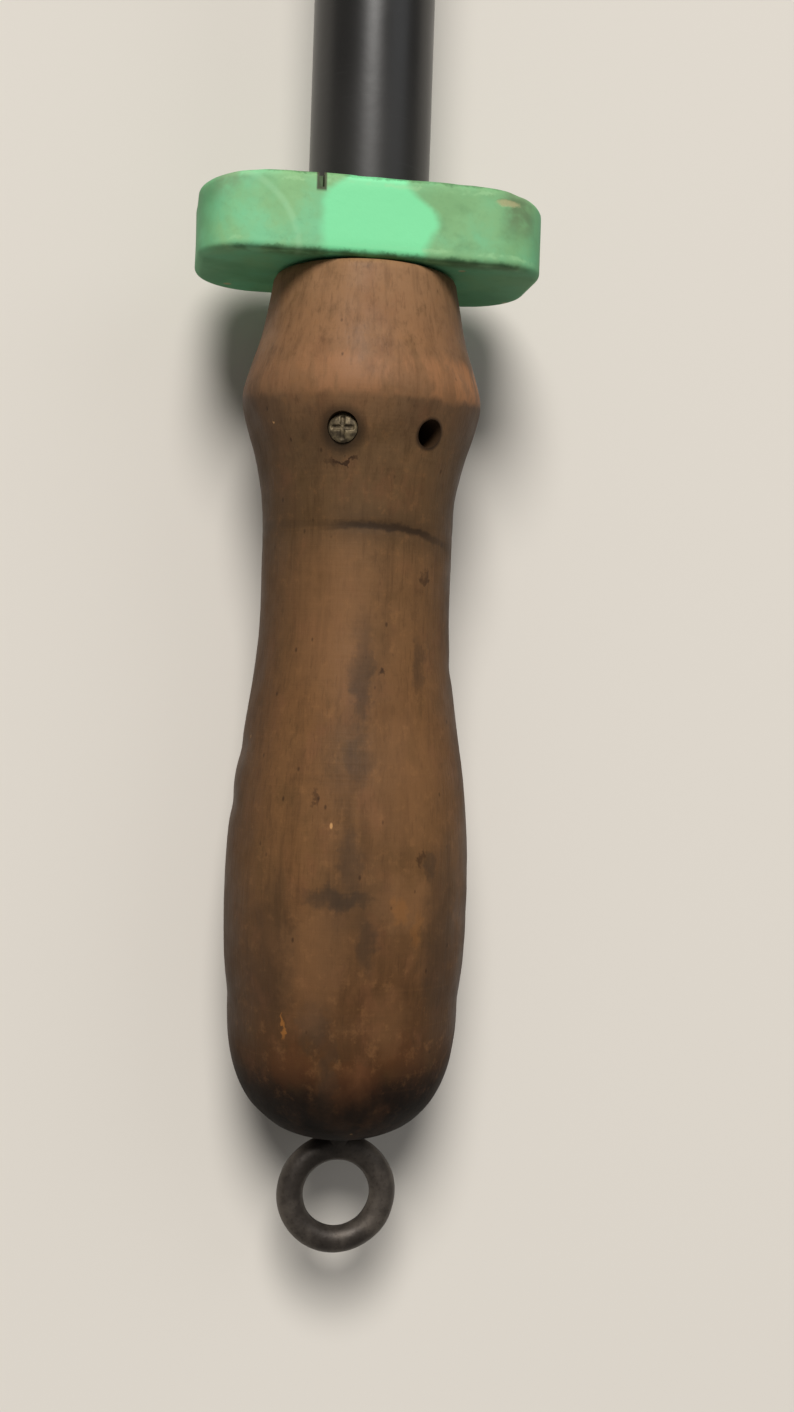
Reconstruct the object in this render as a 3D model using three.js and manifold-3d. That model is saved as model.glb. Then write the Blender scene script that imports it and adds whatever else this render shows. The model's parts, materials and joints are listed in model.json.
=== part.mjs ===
// A hand-pushed carpet sweeper: a pressed-steel case on four rubber-tyred wheels, which turn a bristle
// brush between two dust pans, and a long jointed handle with a green guard block, a turned wooden grip
// and a hanging eye. Millimetres, +Z up, +X to the right, +Y from the case back along the handle.
// The origin is on the floor, under the middle of the whole sweeper with its handle laid down.
import * as THREE from "three";
import { mergeVertices } from "three/addons/utils/BufferGeometryUtils.js";
import Module from "manifold-3d";

const wasm = await Module();
wasm.setup();

// ---------------------------------------------------------------- driving dimensions

const gap = 0.3; // left between pieces that touch
const running = 0.4; // left around a shaft that turns

// Case: a bent sheet between two end plates
const shellLength = 312; // along X
const caseDepth = 224; // along Y
const caseTop = 110;
const caseHem = 12; // bottom edge above the floor
const shoulderRadius = 50;
const sheetThickness = 1.2;
const plateThickness = 2;
const plateLip = 1; // end plate past the sheet
const bandHeight = 12;
const bandThickness = 7.5;
const bandBottom = 44;
const bandCorner = 9;
const combTooth = { pitch: 14, height: 7, room: 1.5 }; // room: from a tooth's tip to the bristles
const combFoot = 12; // the part of the comb that lies under the roof
const badge = { halfLength: 36, halfWidth: 15, thickness: 1.2, rivetX: 29, rivetRadius: 1.2 };

// Wheels and brush
const tyreRadius = 30;
const tyreWidth = 14;
const rimRadius = 24;
const hubWidth = 16;
const hubRadius = 8;
const webHalf = 2; // half of the wheel's pressed web
const tyreBevel = 1.5;
const axleRadius = 3;
const axleHead = 2; // axle pin's head past its shank
const wheelInset = 23; // middle of a wheel from the end of the shell
const brushAxleHeight = 36;
const bristleRadius = 35;
const bristleEndRoom = 8; // from the bristles' end to a wheel
const rowThickness = 6;
const rowTwist = Math.PI / 2;
const coreRadius = 12;
const driveRadius = 15;
const bearingLength = 9;
const bearingSide = 18;
const bearingCorner = 4;
const brushRows = 4;

// Dust pans and the plunger that opens them
const panEndRoom = 10; // from a pan's end to a wheel
const panLipRoom = 3.5; // from a pan's lip to the bristles
const panSheet = 1;
const panFloor = 13;
const panRodInset = 10; // from the case's outer wall
const panRodHeight = 19;
const panRodRadius = 2.5;
const crankRadius = 22;
const crankThickness = 2;
const crankHub = 6;
const crankHalf = 4; // half of the crank arm's width
const panSwing = THREE.MathUtils.degToRad(45);
const pegRadius = 1.8;
const yokeThickness = 2;
const yokeInset = 12.5; // middle of the yoke plate from the end of the shell
const yokeBarBottom = 66;
const yokeBarHeight = 8;
const yokeLegHalf = 9;
const stemWidth = 12;
const guideWidth = 16;
const guideLength = 26;
const guideCorner = 5;
const guideThickness = 2;
const springTurns = 6;
const springRadius = 3.6; // middle of the wire
const springWire = 0.7;
const springY = 30;
const knobRadius = 10;
const knobHeight = 8;
const knobRounding = 2;

// Bail and handle, measured along the handle from its pivot
const pivotHeight = 72;
const pivotRadius = 4;
const studHead = 3; // pivot stud's outer head: past its shank, and thick
const strapWidth = 16;
const strapThickness = 3;
const bushLength = 4.1;
const bushRadius = 8;
const cornerRoom = 17; // left between the case's corners and an arm's bend
const forkLength = 144; // from the bend to the socket
const socketLength = 70;
const socketWall = 3;
const socketCollar = 8; // round end of the socket
const socketCorner = 5;
const socketPlug = 20; // solid end, before the bore
const tailInset = 4; // from an arm's tail to the socket's ends
const boltInset = 10; // lower bolt from the socket's start
const boltPitch = 44;
const tubeRadius = 9.5;
const tubeWall = 1.2;
const tubeJoint = 715;
const couplingLength = 70;
const couplingWall = 2.7;
const gripEnd = 1220; // rounded end of the grip
const boltRadius = 2.5;
const boltHead = 5;
const boltHeadHeight = 3.5;
const nutHeight = 4;
const thumbShank = 2;
const thumbCollar = 4;
const thumbHead = { radius: 6, height: 8, bevel: 1 };

// Guard block
const guardWidth = 53.5;
const guardDepth = 28;
const guardThickness = 12;
const guardCorner = 9;
const kerfWidth = 1;
const kerfDepth = 2.2;
const kerfX = 9; // to the right of the handle's middle

// Grip, measured from its top face
const gripLength = 135.4;
const gripBoreDepth = 47;
const domeStart = 113;
const domeRadius = 18.2;
const domePower = 2.6;
const gripShape = [
  [0, 14.6],
  [4, 15],
  [10, 16.2],
  [16, 18.1],
  [19.5, 18.8],
  [23, 18.2],
  [29, 16.4],
  [36, 15.2],
  [46, 14.95],
  [55, 15],
  [62, 15.6],
  [70, 16.7],
  [79, 18.1],
  [89, 19],
  [98, 19.2],
  [107, 18.9],
];
const screwStation = 26;
const screwAngle = THREE.MathUtils.degToRad(17); // from the upper side towards +X
const spareHoleAngle = THREE.MathUtils.degToRad(-29);
const screwShank = 1.3;
const screwHead = 2.3;
const screwSeat = 15.9; // the head's underside from the grip's axis
const screwPoint = 4.5;
const screwCone = 1; // height of the head's tapered underside
const sinkRoom = 0.4; // recess past the screw's head
const spareHole = 1.75;
const eyeRadius = 7.4; // middle of the wire
const eyeWire = 2.1;
const eyeShank = 25;
const eyeSunk = 0.1; // how far the ring beds into the wood

// ---------------------------------------------------------------- worked-out places

const halfDepth = caseDepth / 2;
const shellEnd = shellLength / 2;
const plateInner = shellEnd + gap;
const plateOuter = plateInner + plateThickness;
const bandReach = halfDepth + plateLip + gap + bandThickness;
const wheelCentreX = shellEnd - wheelInset;
const wheelInnerX = wheelCentreX - tyreWidth / 2;
const bristleLength = 2 * (wheelInnerX - bristleEndRoom);
const panWidth = 2 * (wheelInnerX - panEndRoom);
const panRodY = halfDepth - panRodInset;
const panDepth = panRodY - bristleRadius - panLipRoom;
const yokeX = shellEnd - yokeInset;
const driveReach = tyreRadius + driveRadius + gap;
const wheelY = Math.sqrt(driveReach ** 2 - (brushAxleHeight - tyreRadius) ** 2);
const yokeTravel = 2 * crankRadius * Math.sin(panSwing / 2);
const pegY = panRodY - crankRadius * Math.cos(panSwing / 2);
const pegHeight = panRodHeight + crankRadius * Math.sin(panSwing / 2);
const knobBottom = caseTop + gap + guideThickness + yokeTravel + 1;
const gripStart = gripEnd - gripLength;
const guardEnd = gripStart - gap;
const guardStart = guardEnd - guardThickness;
const eyeCentre = gripEnd + eyeRadius + eyeWire - eyeSunk;
const tubeEnd = gripStart + gripBoreDepth - 1;
const strapInnerX = plateOuter + gap + bushLength + gap;
const bendAt = Math.hypot(bandReach, pivotHeight - bandBottom) + cornerRoom;
const socketStart = bendAt + forkLength;
const socketHalfWidth = tubeRadius + socketWall;
const couplingRadius = tubeRadius + gap + couplingWall;
const beyond = plateOuter + 50; // past every piece of the case, for cuts that go right through

// Radius of the grip at a distance from its top face: a smooth curve, then a blunt dome.
const gripCurve = new THREE.CatmullRomCurve3(gripShape.map(([s, r]) => new THREE.Vector3(s, r, 0)));
function gripProfile() {
  const body = gripCurve.getPoints(22).map((p) => [p.y, p.x]);
  const domeSteps = 7;
  const reach = gripLength - domeStart;
  for (let i = 0; i < domeSteps; i++) {
    const turn = ((i / domeSteps) * Math.PI) / 2;
    const along = reach * Math.sin(turn) ** (2 / domePower);
    body.push([domeRadius * Math.cos(turn) ** (2 / domePower), domeStart + along]);
  }
  return [[0, 0], ...body, [0, gripLength]];
}

// The handle rests on the floor: the smallest fall of its line at which any ring of the grip touches.
function restAngle() {
  const falls = gripProfile()
    .filter(([radius]) => radius > 0)
    .map(([radius, station]) => {
      const along = gripStart + station;
      const reach = Math.hypot(along, radius);
      return Math.asin(pivotHeight / reach) - Math.atan(radius / along);
    });
  return Math.min(...falls);
}

// ---------------------------------------------------------------- materials

function material(color, roughness, metalness) {
  return new THREE.MeshStandardMaterial({ color, roughness, metalness });
}
const greenPaint = material(0x6fb582, 0.45, 0.1);
const blackPaint = material(0x1d1c1b, 0.4, 0.2);
const wornGreen = material(0x7fbf87, 0.7, 0);
const stainedWood = material(0x6b4b31, 0.5, 0);
const paleWood = material(0xb08a5a, 0.7, 0);
const brightSteel = material(0xa9aaa8, 0.35, 0.9);
const darkIron = material(0x38332f, 0.5, 0.8);
const oldBrass = material(0x7d6c49, 0.5, 0.8);
const rubber = material(0x222120, 0.85, 0);
const bristle = material(0x2a2420, 0.9, 0);

// ---------------------------------------------------------------- geometry helpers

// A closed geometry as a manifold-3d solid, with its faces turned outwards.
function solidOf(geometry) {
  const bare = geometry.index ? geometry.toNonIndexed() : geometry.clone();
  const onlyPlaces = new THREE.BufferGeometry().setAttribute("position", bare.getAttribute("position"));
  const merged = mergeVertices(onlyPlaces, 1e-3);
  const triVerts = new Uint32Array(merged.index.array);
  const vertProperties = merged.attributes.position.array;
  const build = () => new wasm.Manifold(new wasm.Mesh({ numProp: 3, vertProperties, triVerts }));
  const made = build();
  if (made.volume() >= 0) return made;
  for (let i = 0; i < triVerts.length; i += 3) {
    [triVerts[i + 1], triVerts[i + 2]] = [triVerts[i + 2], triVerts[i + 1]];
  }
  return build();
}

function geometryOf(solid) {
  const mesh = solid.getMesh();
  const places = new Float32Array(mesh.numVert * 3);
  for (let i = 0; i < mesh.numVert; i++) {
    const from = i * mesh.numProp;
    places.set(mesh.vertProperties.subarray(from, from + 3), i * 3);
  }
  const geometry = new THREE.BufferGeometry();
  geometry.setAttribute("position", new THREE.BufferAttribute(places, 3));
  geometry.setIndex(new THREE.BufferAttribute(new Uint32Array(mesh.triVerts), 1));
  geometry.computeVertexNormals();
  return geometry;
}

function join(...geometries) {
  const solids = geometries.map(solidOf);
  return geometryOf(solids.reduce((sum, next) => sum.add(next)));
}

function cut(body, ...tools) {
  return geometryOf(tools.reduce((left, tool) => left.subtract(solidOf(tool)), solidOf(body)));
}

function common(a, b) {
  return geometryOf(solidOf(a).intersect(solidOf(b)));
}

// A turned piece: profile points are [radius, distance along +Y], closed on the axis or on themselves.
function turned(profile, segments = 24) {
  const points = profile.map(([radius, along]) => new THREE.Vector2(radius, along));
  return geometryOf(solidOf(new THREE.LatheGeometry(points, segments)));
}

// A ring profile with a bore, between two distances along the axis.
function sleeve(inner, outer, from, to, segments = 24) {
  return turned([[inner, from], [outer, from], [outer, to], [inner, to], [inner, from]], segments);
}

function rodAlong(axis, radius, from, to, segments = 16) {
  const geometry = new THREE.CylinderGeometry(radius, radius, to - from, segments);
  geometry.translate(0, (from + to) / 2, 0);
  if (axis === "x") geometry.rotateZ(-Math.PI / 2);
  if (axis === "z") geometry.rotateX(Math.PI / 2);
  return geometry;
}

function block(x0, x1, y0, y1, z0, z1) {
  const geometry = new THREE.BoxGeometry(x1 - x0, y1 - y0, z1 - z0);
  return geometry.translate((x0 + x1) / 2, (y0 + y1) / 2, (z0 + z1) / 2);
}

function shapeOf(points) {
  return new THREE.Shape(points.map(([a, b]) => new THREE.Vector2(a, b)));
}

function roundedRectangle(width, height, radius) {
  const [w, h] = [width / 2, height / 2];
  const shape = new THREE.Shape();
  shape.absarc(w - radius, h - radius, radius, 0, Math.PI / 2);
  shape.absarc(radius - w, h - radius, radius, Math.PI / 2, Math.PI);
  shape.absarc(radius - w, radius - h, radius, Math.PI, 1.5 * Math.PI);
  shape.absarc(w - radius, radius - h, radius, 1.5 * Math.PI, 2 * Math.PI);
  return shape;
}

function extruded(shape, from, to, curveSegments) {
  const geometry = new THREE.ExtrudeGeometry(shape, {
    depth: to - from,
    bevelEnabled: false,
    curveSegments,
  });
  return geometry.translate(0, 0, from);
}

const extrudeZ = (shape, from, to, curveSegments = 6) => extruded(shape, from, to, curveSegments);

// The shape's two directions become Y and Z, and it runs along X.
function extrudeX(shape, from, to, curveSegments = 6) {
  const turn = new THREE.Matrix4().makeBasis(
    new THREE.Vector3(0, 1, 0),
    new THREE.Vector3(0, 0, 1),
    new THREE.Vector3(1, 0, 0),
  );
  return extruded(shape, from, to, curveSegments).applyMatrix4(turn);
}

// The shape's two directions become X and Z, and it runs along Y.
function extrudeY(shape, from, to, curveSegments = 6) {
  const turn = new THREE.Matrix4().makeBasis(
    new THREE.Vector3(1, 0, 0),
    new THREE.Vector3(0, 0, 1),
    new THREE.Vector3(0, -1, 0),
  );
  return extruded(shape, -to, -from, curveSegments).applyMatrix4(turn);
}

function add(group, name, geometry, look, x = 0, y = 0, z = 0) {
  const mesh = new THREE.Mesh(geometry, look);
  mesh.name = name;
  mesh.position.set(x, y, z);
  group.add(mesh);
  return mesh;
}

// ---------------------------------------------------------------- case

// Side outline of the case: upright walls, round shoulders and a flat top, drawn in by an inset.
function caseOutline(inset, bottom = caseHem) {
  const wall = halfDepth - inset;
  const radius = shoulderRadius - inset;
  const top = caseTop - shoulderRadius;
  const centre = halfDepth - shoulderRadius;
  const outline = [[wall, bottom]];
  const steps = 9;
  for (let i = 0; i <= steps; i++) {
    const turn = ((i / steps) * Math.PI) / 2;
    outline.push([centre + radius * Math.cos(turn), top + radius * Math.sin(turn)]);
  }
  const mirrored = [...outline].reverse().map(([y, z]) => [-y, z]);
  return [...outline, ...mirrored];
}

function caseShell() {
  const outline = [...caseOutline(0), ...caseOutline(sheetThickness).reverse()];
  const bent = extrudeX(shapeOf(outline), -shellEnd, shellEnd);
  return cut(bent, stemSlot(yokeX, caseTop));
}

// The volume of the slot that the plunger's stem slides in, around a place on the roof.
function stemSlot(x, z) {
  const across = yokeThickness / 2 + running;
  const along = stemWidth / 2 + running;
  return block(x - across, x + across, -along, along, z - shoulderRadius / 5, z + shoulderRadius / 5);
}

// An end plate, with a hole for each shaft that it carries.
function endPlate(side) {
  const [from, to] = side > 0 ? [plateInner, plateOuter] : [-plateOuter, -plateInner];
  const plate = extrudeX(shapeOf(caseOutline(-plateLip)), from, to);
  const hole = (radius, y, z) => rodAlong("x", radius, -beyond, beyond, 12).translate(0, y, z);
  return cut(
    plate,
    hole(pivotRadius + gap, 0, pivotHeight),
    hole(axleRadius + gap, wheelY, tyreRadius),
    hole(axleRadius + gap, -wheelY, tyreRadius),
    hole(panRodRadius + running, panRodY, panRodHeight),
    hole(panRodRadius + running, -panRodY, panRodHeight),
  );
}

// The rubber band that keeps the case off the furniture.
function furnitureBand() {
  const innerWidth = 2 * (plateOuter + gap);
  const inner = roundedRectangle(innerWidth, 2 * (bandReach - bandThickness), gap);
  const outer = roundedRectangle(innerWidth + 2 * bandThickness, 2 * bandReach, bandCorner);
  const solid = extrudeZ(outer, 0, bandHeight);
  return cut(solid, extrudeZ(inner, -1, bandHeight + 1, 2));
}

// A toothed strip under the roof that cleans the brush.
function brushComb() {
  const roof = caseTop - sheetThickness - gap;
  const tip = brushAxleHeight + bristleRadius + combTooth.room;
  const half = panWidth / 2;
  const outline = [[half, roof], [-half, roof], [-half, tip]];
  for (let x = -half + combTooth.pitch / 2; x < half - combTooth.pitch; x += combTooth.pitch) {
    const next = x + combTooth.pitch / 2;
    outline.push([x, tip], [next, tip + combTooth.height], [next, tip]);
  }
  outline.push([half, tip]);
  const web = extrudeY(shapeOf(outline), -panSheet / 2, panSheet / 2);
  return join(web, block(-half, half, -panSheet / 2, combFoot, roof - panSheet, roof));
}

function badgePlate() {
  const oval = new THREE.Shape().absellipse(0, 0, badge.halfLength, badge.halfWidth, 0, 2 * Math.PI);
  const drill = rodAlong("z", badge.rivetRadius + gap, -gap, badge.thickness + gap, 8);
  const holes = [-badge.rivetX, badge.rivetX].map((x) => drill.clone().translate(x, 0, 0));
  return cut(extrudeZ(oval, 0, badge.thickness, 12), ...holes);
}

function badgeRivet() {
  const seat = badge.thickness + gap;
  const profile = [
    [0, 0],
    [badge.rivetRadius, 0],
    [badge.rivetRadius, seat],
    [badge.rivetRadius + 1, seat],
    [badge.rivetRadius + 0.4, seat + 0.8],
    [0, seat + 1.1],
  ];
  return turned(profile, 10).rotateX(Math.PI / 2);
}

// A pin along +X with a head at each end; the shank runs between the heads' inner faces.
function headedPin(radius, headRadius, headFrom, from, to, headTo) {
  return join(
    rodAlong("x", headRadius, headFrom, from, 14),
    rodAlong("x", radius, from - 0.5, to + 0.5, 12),
    rodAlong("x", headRadius, to, headTo, 14),
  );
}

function axlePin(side) {
  const hubEnd = wheelCentreX - hubWidth / 2 - gap;
  const outer = plateOuter + gap;
  const pin = headedPin(axleRadius, axleRadius + axleHead, hubEnd - 3, hubEnd, outer, outer + 2.2);
  return side > 0 ? pin : pin.rotateZ(Math.PI);
}

function pivotStud(side) {
  const outer = strapInnerX + strapThickness + gap;
  const headRadius = pivotRadius + studHead;
  const stud = headedPin(pivotRadius, headRadius, shellEnd - 2.4, shellEnd, outer, outer + 2.7);
  return side > 0 ? stud : stud.rotateZ(Math.PI);
}

// The bush that keeps a bail arm clear of the case.
function pivotBush(side) {
  const [from, to] = [plateOuter + gap, strapInnerX - gap];
  const ring = sleeve(pivotRadius + gap, bushRadius, from, to, 20).rotateZ(-Math.PI / 2);
  return side > 0 ? ring : ring.rotateZ(Math.PI);
}

// A bearing block for the brush shaft, fixed inside an end plate.
function brushBearing() {
  const body = extrudeX(roundedRectangle(bearingSide, bearingSide, bearingCorner), 0, bearingLength, 3);
  return cut(body, rodAlong("x", axleRadius + running, -1, bearingLength + 1));
}

function dumpGuide() {
  const body = extrudeZ(roundedRectangle(guideWidth, guideLength, guideCorner), 0, guideThickness, 3);
  return cut(body, stemSlot(0, 0));
}

// An extension spring between the roof and the yoke's bar.
function dumpSpring() {
  const low = yokeBarBottom + yokeBarHeight + gap + springWire;
  const high = caseTop - sheetThickness - gap - springWire;
  const stepsPerTurn = 8;
  const steps = springTurns * stepsPerTurn;
  const points = [];
  for (let i = 0; i <= steps; i++) {
    const turn = (i / stepsPerTurn) * 2 * Math.PI;
    const height = low + ((high - low) * i) / steps;
    points.push(new THREE.Vector3(springRadius * Math.cos(turn), springRadius * Math.sin(turn), height));
  }
  const path = new THREE.CatmullRomCurve3(points);
  const section = new THREE.Shape().absarc(0, 0, springWire, 0, 2 * Math.PI);
  return new THREE.ExtrudeGeometry(section, { steps, extrudePath: path, curveSegments: 3 });
}

function buildCase(head) {
  add(head, "case_shell", caseShell(), greenPaint);
  add(head, "furniture_band", furnitureBand(), rubber, 0, 0, bandBottom);
  add(head, "brush_comb", brushComb(), brightSteel);
  add(head, "badge_plate", badgePlate(), brightSteel, 0, 0, caseTop + gap);
  add(head, "badge_rivet_left", badgeRivet(), brightSteel, -badge.rivetX, 0, caseTop + gap);
  add(head, "badge_rivet_right", badgeRivet(), brightSteel, badge.rivetX, 0, caseTop + gap);
  add(head, "dump_guide", dumpGuide(), brightSteel, yokeX, 0, caseTop + gap);
  for (const [end, y] of [["front", -springY], ["rear", springY]]) {
    add(head, `dump_spring_${end}`, dumpSpring(), brightSteel, yokeX, y, 0);
  }
  for (const [name, side] of [["left", -1], ["right", 1]]) {
    add(head, `end_plate_${name}`, endPlate(side), greenPaint);
    add(head, `pivot_stud_${name}`, pivotStud(side), brightSteel, 0, 0, pivotHeight);
    add(head, `pivot_bush_${name}`, pivotBush(side), brightSteel, 0, 0, pivotHeight);
    const bearingX = side > 0 ? shellEnd - bearingLength : -shellEnd;
    add(head, `brush_bearing_${name}`, brushBearing(), paleWood, bearingX, 0, brushAxleHeight);
    for (const [end, y] of [["front", -wheelY], ["rear", wheelY]]) {
      add(head, `axle_pin_${end}_${name}`, axlePin(side), brightSteel, 0, y, tyreRadius);
    }
  }
}

// ---------------------------------------------------------------- wheels

// A pressed wheel: wide hub, thin web and a rim that carries the tyre.
function wheel() {
  const bore = axleRadius + running;
  const hub = hubWidth / 2;
  const rim = tyreWidth / 2 - 1;
  const half = [
    [bore, hub],
    [hubRadius, hub],
    [hubRadius + 1, webHalf + 1],
    [rimRadius - 4, webHalf],
    [rimRadius - 3, rim],
    [rimRadius, rim],
  ];
  const back = [...half].reverse().map(([radius, along]) => [radius, -along]);
  return turned([...half, ...back, half[0]], 20).rotateZ(Math.PI / 2);
}

function tyre() {
  const half = tyreWidth / 2;
  const inner = rimRadius + gap;
  const profile = [
    [inner, -half],
    [inner, half],
    [tyreRadius - tyreBevel, half],
    [tyreRadius, half - tyreBevel - 1],
    [tyreRadius, tyreBevel + 1 - half],
    [tyreRadius - tyreBevel, -half],
    [inner, -half],
  ];
  return turned(profile, 28).rotateZ(Math.PI / 2);
}

function buildWheels(head) {
  for (const [side, x] of [["left", -wheelCentreX], ["right", wheelCentreX]]) {
    for (const [end, y] of [["front", -wheelY], ["rear", wheelY]]) {
      add(head, `wheel_${end}_${side}`, wheel(), blackPaint, x, y, tyreRadius);
      add(head, `tyre_${end}_${side}`, tyre(), rubber, x, y, tyreRadius);
    }
  }
}

// ---------------------------------------------------------------- brush

// One row of bristles: a thin radial strip that winds a quarter turn along the core.
function bristleRow(start) {
  const steps = 18;
  const foot = coreRadius + gap;
  const tip = Math.sqrt(bristleRadius ** 2 - (rowThickness / 2) ** 2);
  const places = [];
  const corners = [];
  for (let i = 0; i <= steps; i++) {
    const x = bristleLength * (i / steps - 0.5);
    const turn = start + (rowTwist * i) / steps;
    const out = [Math.cos(turn), Math.sin(turn)];
    const across = [-out[1], out[0]];
    for (const [depth, side] of [[foot, -1], [tip, -1], [tip, 1], [foot, 1]]) {
      const shift = (side * rowThickness) / 2;
      corners.push([x, out[0] * depth + across[0] * shift, out[1] * depth + across[1] * shift]);
    }
  }
  const quad = (a, b, c, d) => {
    for (const corner of [a, b, c, a, c, d]) places.push(...corners[corner]);
  };
  quad(0, 1, 2, 3);
  for (let i = 0; i < steps; i++) {
    for (let k = 0; k < 4; k++) {
      const next = (k + 1) % 4;
      quad(4 * i + next, 4 * i + k, 4 * i + 4 + k, 4 * i + 4 + next);
    }
  }
  const last = 4 * steps;
  quad(last + 3, last + 2, last + 1, last);
  const strip = new THREE.BufferGeometry();
  strip.setAttribute("position", new THREE.Float32BufferAttribute(places, 3));
  return geometryOf(solidOf(strip));
}

function buildBrush(head) {
  const coreEnd = wheelInnerX - gap;
  const core = sleeve(axleRadius + gap, coreRadius, -coreEnd, coreEnd, 24).rotateZ(Math.PI / 2);
  add(head, "brush_core", core, paleWood, 0, 0, brushAxleHeight);
  const shaft = rodAlong("x", axleRadius, -shellEnd + 1, shellEnd - 1);
  add(head, "brush_shaft", shaft, brightSteel, 0, 0, brushAxleHeight);
  for (const [side, x] of [["left", -wheelCentreX], ["right", wheelCentreX]]) {
    const ring = sleeve(axleRadius + gap, driveRadius, -tyreWidth / 2, tyreWidth / 2, 24);
    add(head, `drive_roller_${side}`, ring.rotateZ(Math.PI / 2), rubber, x, 0, brushAxleHeight);
  }
  for (let row = 0; row < brushRows; row++) {
    const start = (row * 2 * Math.PI) / brushRows;
    add(head, `bristle_row_${row + 1}`, bristleRow(start), bristle, 0, 0, brushAxleHeight);
  }
}

// ---------------------------------------------------------------- dust pans

// Section of a pan in its own frame: Y from the rod outwards, Z up from the rod.
function panSection(inset) {
  const low = panFloor - panRodHeight + inset;
  return [
    [-panDepth + inset, 9],
    [3.5 - panDepth + inset, low + 4],
    [8.5 - panDepth, low],
    [0, low],
    [4 - inset, low + 3],
    [6.5 - inset, 30],
  ];
}

function dustPan() {
  const half = panWidth / 2;
  const skin = [...panSection(0), ...panSection(panSheet).reverse()];
  const tray = extrudeX(shapeOf(skin), -half, half);
  const cheek = (x) => extrudeX(shapeOf(panSection(0)), x, x + panSheet);
  const whole = join(tray, cheek(-half), cheek(half - panSheet));
  return cut(whole, rodAlong("x", panRodRadius + gap, -half - 5, half + 5));
}

// The arm fixed on a pan's rod, with the peg that rides in the yoke.
function panCrank() {
  const from = yokeX + yokeThickness / 2 + 1.5;
  const to = from + crankThickness;
  const outwards = -crankRadius * Math.cos(panSwing / 2);
  const upwards = crankRadius * Math.sin(panSwing / 2);
  const pegFrom = yokeX - yokeThickness / 2 - 1;
  return cut(
    join(
      block(from, to, -crankRadius, 0, -crankHalf, crankHalf).rotateX(-panSwing / 2),
      rodAlong("x", crankHub, from, to),
      rodAlong("x", crankHalf, from, to).translate(0, outwards, upwards),
      rodAlong("x", pegRadius, pegFrom, from + 1, 12).translate(0, outwards, upwards),
    ),
    rodAlong("x", panRodRadius + gap, from - 5, to + 5),
  );
}

function buildPans(head) {
  for (const [end, side] of [["front", -1], ["rear", 1]]) {
    const pan = new THREE.Group();
    pan.position.set(0, side * panRodY, panRodHeight);
    const rod = rodAlong("x", panRodRadius, 1 - plateOuter, plateOuter + 1);
    const facing = (geometry) => (side > 0 ? geometry : mirrored(geometry));
    add(pan, `${end}_pan`, facing(dustPan()), greenPaint);
    add(pan, `${end}_pan_rod`, rod, brightSteel);
    add(pan, `${end}_pan_crank`, facing(panCrank()), brightSteel);
    head.add(pan);
  }
}

// The same piece facing the other way along Y.
function mirrored(geometry) {
  return geometryOf(solidOf(geometry.clone().scale(1, -1, 1)));
}

// ---------------------------------------------------------------- dump plunger

// A plate with two slotted legs, a bar between them and a stem up through the roof.
function dumpYoke() {
  const top = yokeBarBottom + yokeBarHeight;
  const legBottom = pegHeight - 6;
  const stem = stemWidth / 2;
  const half = [
    [stem, knobBottom - gap],
    [stem, top],
    [pegY + yokeLegHalf, top],
    [pegY + yokeLegHalf, legBottom],
    [pegY - yokeLegHalf, legBottom],
    [pegY - yokeLegHalf, yokeBarBottom],
  ];
  const outline = [...half, ...[...half].reverse().map(([y, z]) => [-y, z])];
  const [from, to] = [yokeX - yokeThickness / 2, yokeX + yokeThickness / 2];
  const plate = extrudeX(shapeOf(outline), from, to);
  const sideways = crankRadius * (1 - Math.cos(panSwing / 2));
  const slotHalf = pegRadius + running;
  const slot = (side) => block(
    from - 1, to + 1,
    side * pegY - sideways - slotHalf, side * pegY + sideways + slotHalf,
    pegHeight - slotHalf, pegHeight + slotHalf,
  );
  return cut(plate, slot(1), slot(-1));
}

function buildDump(head) {
  add(head, "dump_yoke", dumpYoke(), brightSteel);
  const cap = [
    [0, 0],
    [knobRadius - knobRounding, 0],
    [knobRadius, knobRounding],
    [knobRadius, knobHeight - knobRounding],
    [knobRadius - knobRounding, knobHeight],
    [0, knobHeight],
  ];
  const knob = turned(cap, 20).rotateX(Math.PI / 2);
  add(head, "dump_knob", knob, rubber, yokeX, 0, knobBottom);
}

// ---------------------------------------------------------------- bail and tubes

// A strap that runs back beside the case, turns inwards and lies along the socket.
function bailArm(side) {
  const tailX = socketHalfWidth + gap;
  const tailStart = socketStart + tailInset;
  const tailEnd = socketStart + socketLength - tailInset;
  const slope = new THREE.Vector2(tailX - strapInnerX, tailStart - bendAt).normalize();
  const miter = (strapThickness * (1 - slope.y)) / -slope.x;
  const inside = [
    [strapInnerX, -strapWidth / 2],
    [strapInnerX, bendAt],
    [tailX, tailStart],
    [tailX, tailEnd],
  ];
  const outside = [
    [tailX + strapThickness, tailEnd],
    [tailX + strapThickness, tailStart + miter],
    [strapInnerX + strapThickness, bendAt + miter],
    [strapInnerX + strapThickness, -strapWidth / 2],
  ];
  const strap = extrudeZ(shapeOf([...inside, ...outside]), -strapWidth / 2, strapWidth / 2);
  const roundEnd = join(
    block(0, beyond, 0, tailEnd + 5, -strapWidth / 2, strapWidth / 2),
    rodAlong("x", strapWidth / 2, 0, beyond, 24),
  );
  const drilled = cut(
    common(strap, roundEnd),
    rodAlong("x", pivotRadius + running, 0, beyond),
    ...boltPlaces().map((y) => rodAlong("x", boltRadius + gap, 0, beyond).translate(0, y, 0)),
  );
  return side > 0 ? drilled : geometryOf(solidOf(drilled.scale(-1, 1, 1)));
}

function boltPlaces() {
  return [socketStart + boltInset, socketStart + boltInset + boltPitch];
}

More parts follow.
